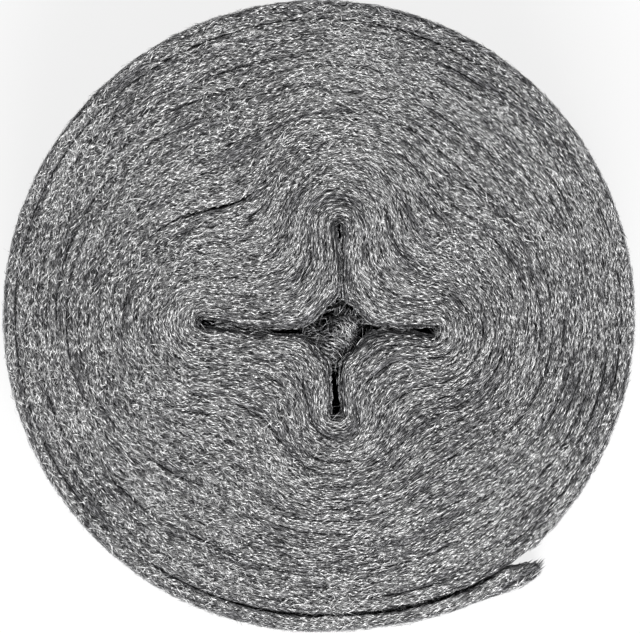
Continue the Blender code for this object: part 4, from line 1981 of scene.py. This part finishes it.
@dataclass
class SteelWoolRoll:
    """The dressed roll: the band, its strands and the tuft in its hollow.

    Each recipe gives name, count and points of a strand, then length, radius, spread, bend,
    lift, tone, tone spread and seed, and then roll spread and gather where they aren't usual.
    loose_degrees and tail_degrees bound the strands beside the last turn and on its end.
    """

    width: float
    winding: Winding = field(default_factory=Winding)
    relief: EndRelief = field(default_factory=EndRelief)
    loose_degrees: tuple[float, float] = (76.0, 5.0)
    tail_degrees: tuple[float, float] = (9.0, 0.8)

    def track(self, turn: int, part: np.ndarray, side: Side) -> Track:
        """The face on one side of a line between turns, as a track that looks off the wool."""
        return Track(self.winding.line(turn, part, side) - self.winding.middle, -side.value)

    def rim_track(self) -> Track:
        """The roll's outermost face, from the seam round to the free end."""
        return self.track(self.winding.turns, np.linspace(0.0, 1.0, 2400), Side.INSIDE)

    def gap_track(self, degrees: tuple[float, float], count: int, side: Side) -> Track:
        """A face along the gap that lies inside the loose last turn.

        Args:
            degrees: where it starts and ends, back from the ribbon's free end.
            count: number of points.
            side: inside for the roll's face, and outside for the last turn's inner face.

        Returns:
            The track.
        """
        start, end = degrees
        part = np.linspace(1.0 - start / 360.0, 1.0 - end / 360.0, count)
        return self.track(self.winding.turns - 1, part, side)

    def hollow_track(self) -> Track:
        """The hollow's edge, once round."""
        part = self.winding.even_parts(-1, 0.4 * MILLIMETRE, 3.0)
        return self.track(-1, part, Side.OUTSIDE)

    def upper_recipes(self) -> list[StrandRecipe]:
        """Families of strands on the upper end face.

        Returns:
            The families, from the lowest and darkest layer to the longest loose strands.
        """
        mm = MILLIMETRE
        # Painted light and shade: the lower layers have darker tones, the higher ones paler.
        return [
            StrandRecipe("upper_strands_deep", 18000, 2, 3.8 * mm, 0.20 * mm, 9.0, 0.0,
                         0.2 * mm, 0.07, 0.14, 101),
            StrandRecipe("upper_strands_middle", 38000, 2, 3.0 * mm, 0.16 * mm, 9.0, 0.0,
                         0.5 * mm, 0.26, 0.32, 102),
            StrandRecipe("upper_strands_high", 46000, 2, 2.9 * mm, 0.14 * mm, 13.0, 0.0,
                         1.1 * mm, 0.86, 0.38, 103, gather=0.5),
            StrandRecipe("upper_strands_top", 28000, 3, 3.0 * mm, 0.15 * mm, 15.0, 130.0,
                         1.7 * mm, 1.25, 0.15, 110, 1.2, 0.9),
            StrandRecipe("upper_strands_long", 300, 9, 5.0 * mm, 0.13 * mm, 20.0, 130.0,
                         1.7 * mm, 0.90, 0.10, 104),
        ]

    def face_strands(self, strand: bpy.types.Material) -> list[bpy.types.Object]:
        """Builds the strands of both end faces.

        Args:
            strand: finish of the strands.

        Returns:
            The pieces, the upper end face's layers first.
        """
        mm = MILLIMETRE
        lower = StrandRecipe("lower_strands", 13000, 2, 4.2 * mm, 0.26 * mm, 12.0, 0.0,
                             0.4 * mm, 0.5, 0.28, 105)
        families = [(EndFace.UPPER, recipe) for recipe in self.upper_recipes()]
        families.append((EndFace.LOWER, lower))
        return [EndFaceStrands(self.winding, self.relief, self.width, face,
                               recipe).build(strand) for face, recipe in families]

    def wall_strands(self, strand: bpy.types.Material) -> list[bpy.types.Object]:
        """Builds the strands of the walls, and the fuzz that stands out of the outer one.

        Args:
            strand: finish of the strands.

        Returns:
            The pieces, from the outer wall inwards.
        """
        mm, width = MILLIMETRE, self.width
        rim = self.rim_track()
        outer = StrandRecipe("outer_wall_strands", 30000, 2, 4.6 * mm, 0.19 * mm, 16.0, 0.0,
                             0.9 * mm, 0.5, 0.30, 106)
        fuzz = StrandRecipe("rim_fuzz", 9000, 2, 1.9 * mm, 0.065 * mm, 0.0, 0.0, 1.3 * mm,
                            0.5, 0.2, 107)
        curls = StrandRecipe("rim_curls", 1400, 4, 2.6 * mm, 0.06 * mm, 0.0, 0.0, 1.6 * mm,
                             0.5, 0.2, 115)
        # Painted shade: strands on the hollow's wall have dark tones, where little light gets
        # in.
        hollow = StrandRecipe("hollow_wall_strands", 2400, 4, 3.4 * mm, 0.12 * mm, 26.0, 90.0,
                              0.5 * mm, 0.30, 0.26, 108)
        tail = StrandRecipe("tail_inner_strands", 420, 4, 4.5 * mm, 0.17 * mm, 24.0, 60.0,
                            0.5 * mm, 0.4, 0.22, 111)
        # Painted shade: strands in the loose turn's gap have dark tones too.
        gap = StrandRecipe("loose_turn_strands", 700, 4, 4.0 * mm, 0.16 * mm, 30.0, 60.0,
                           1.8 * mm, 0.2, 0.2, 113)
        families = [
            WallStrands(rim, 0.3 * mm, width - 0.2 * mm, outer),
            RimFuzz(rim, width, fuzz),
            RimFuzz(rim, width, curls),
            WallStrands(self.hollow_track(), width - 26.0 * mm, width - 2.6 * mm, hollow, 0.5),
            WallStrands(self.gap_track(self.tail_degrees, 80, Side.OUTSIDE), 0.3 * mm,
                        width - 0.3 * mm, tail),
            WallStrands(self.gap_track(self.loose_degrees, 400, Side.INSIDE),
                        width - 14.0 * mm, width - 2.5 * mm, gap),
        ]
        return [family.build(strand) for family in families]

    def hollow_pieces(self, shaded: bpy.types.Material,
                      strand: bpy.types.Material) -> list[bpy.types.Object]:
        """Builds what lies in the hollow: strands across the slits, the tuft and its strands.

        Args:
            shaded: finish of packed wool that little light reaches.
            strand: finish of the strands.

        Returns:
            The pieces.
        """
        mm = MILLIMETRE
        # Painted shade: strands across the slits and loose in the hollow have dark tones.
        across = StrandRecipe("slit_strands", 110, 4, 2.8 * mm, 0.10 * mm, 18.0, 120.0,
                              0.5 * mm, 0.25, 0.25, 112)
        wound = StrandRecipe("tuft_strands", 3000, 3, 3.0 * mm, 0.13 * mm, 20.0, 120.0,
                             1.2 * mm, 0.85, 0.50, 109)
        loose = StrandRecipe("hollow_loose_strands", 420, 5, 4.0 * mm, 0.08 * mm, 60.0, 160.0,
                             1.5 * mm, 0.20, 0.30, 114)
        tuft = Tuft(self.winding, self.width, wound)
        return [SlitStrands(self.winding, self.width, across).build(strand),
                tuft.build_body(shaded), tuft.build_strands(strand),
                tuft.build_loose(loose, strand)]

    def build(self) -> list[bpy.types.Object]:
        """Builds every piece of the roll and reports each.

        Returns:
            The pieces, the band first.
        """
        packed = PackedWoolFinish().make()
        shaded = PackedWoolFinish("shaded_steel_wool", stops=PackedWoolFinish.painted_shade_stops).make()
        strand = StrandFinish().make()
        pieces = [RibbonBand(self.winding, self.relief, self.width).build(packed)]
        pieces += self.face_strands(strand)
        pieces += self.wall_strands(strand)
        pieces += self.hollow_pieces(shaded, strand)
        for piece in pieces:
            LOG.info("%s: %d triangles", piece.name, len(piece.data.polygons))
        return pieces


# ---- The studio


@dataclass
class Studio:
    """A plain pale floor, light from all round, a soft lamp and a camera straight above."""

    width: float
    camera_height: float = 9.0
    sensor: float = 36.0
    sky: float = 0.45
    lamp_power: float = 41.0
    lamp_size: float = 1.0
    lamp_place: tuple[float, float, float] = (0.15, -1.1, 1.6)
    floor_size: float = 12.0
    floor_gap: float = 0.2 * MILLIMETRE

    def build(self) -> None:
        """Sets up the floor, the light, the camera and the plain view transform."""
        self.add_floor()
        self.add_sky()
        self.add_lamp()
        self.add_camera()
        bpy.context.scene.view_settings.view_transform = "Standard"

    def add_floor(self) -> None:
        """The floor that the roll stands on."""
        bpy.ops.mesh.primitive_plane_add(
            size=self.floor_size, location=(0.0, 0.0, -self.floor_gap))
        floor = bpy.context.object
        floor.name = "floor"
        floor.data.materials.append(PaleFloorFinish().make())

    def add_sky(self) -> None:
        """Even pale light from all round."""
        world = bpy.data.worlds.new("sky")
        world.use_nodes = True
        background = world.node_tree.nodes["Background"]
        background.inputs["Color"].default_value = (1.0, 1.0, 1.0, 1.0)
        background.inputs["Strength"].default_value = self.sky
        bpy.context.scene.world = world

    def add_lamp(self) -> None:
        """A large soft lamp high above, whose light glints on strands that lie any way."""
        lamp = bpy.data.lights.new("soft_lamp", "AREA")
        lamp.energy = self.lamp_power
        lamp.size = self.lamp_size
        holder = bpy.data.objects.new("soft_lamp", lamp)
        holder.location = self.lamp_place
        toward = Vector((0.0, 0.0, self.width)) - holder.location
        holder.rotation_euler = toward.to_track_quat("-Z", "Y").to_euler()
        holder.visible_camera = False
        bpy.context.scene.collection.objects.link(holder)

    def add_camera(self) -> None:
        """A long lens straight above, which frames the upper end face as the photograph does."""
        per_pixel = Winding.diameter / ROLL_ACROSS_PX
        camera = bpy.data.cameras.new("camera")
        camera.sensor_width = self.sensor
        camera.lens = self.sensor * self.camera_height / (PHOTO_WIDTH_PX * per_pixel)
        camera.clip_end = 20.0
        holder = bpy.data.objects.new("camera", camera)
        right = (0.5 * PHOTO_WIDTH_PX - ROLL_MIDDLE_PX[0]) * per_pixel
        down = (0.5 * PHOTO_HEIGHT_PX - ROLL_MIDDLE_PX[1]) * per_pixel
        holder.location = (right, -down, self.width + self.camera_height)
        bpy.context.scene.collection.objects.link(holder)
        bpy.context.scene.camera = holder


def corners(bounds: tuple) -> list[list[float]]:
    """A box's lowest and highest corners as plain lists."""
    return [[float(value) for value in corner] for corner in bounds]


def main() -> None:
    """Dresses the roll round the frame and sets up the studio."""
    logging.basicConfig(level=logging.INFO, format="%(name)s %(message)s")
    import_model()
    lowest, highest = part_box(RIBBON_NODE)
    width = float(highest[2] - lowest[2])
    pieces = SteelWoolRoll(width).build()
    for piece in pieces:
        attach(piece, BODY)
    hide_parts(RIBBON_NODE)
    Studio(width).build()
    LOG.info("sizes written")


if __name__ == "__main__":
    main()
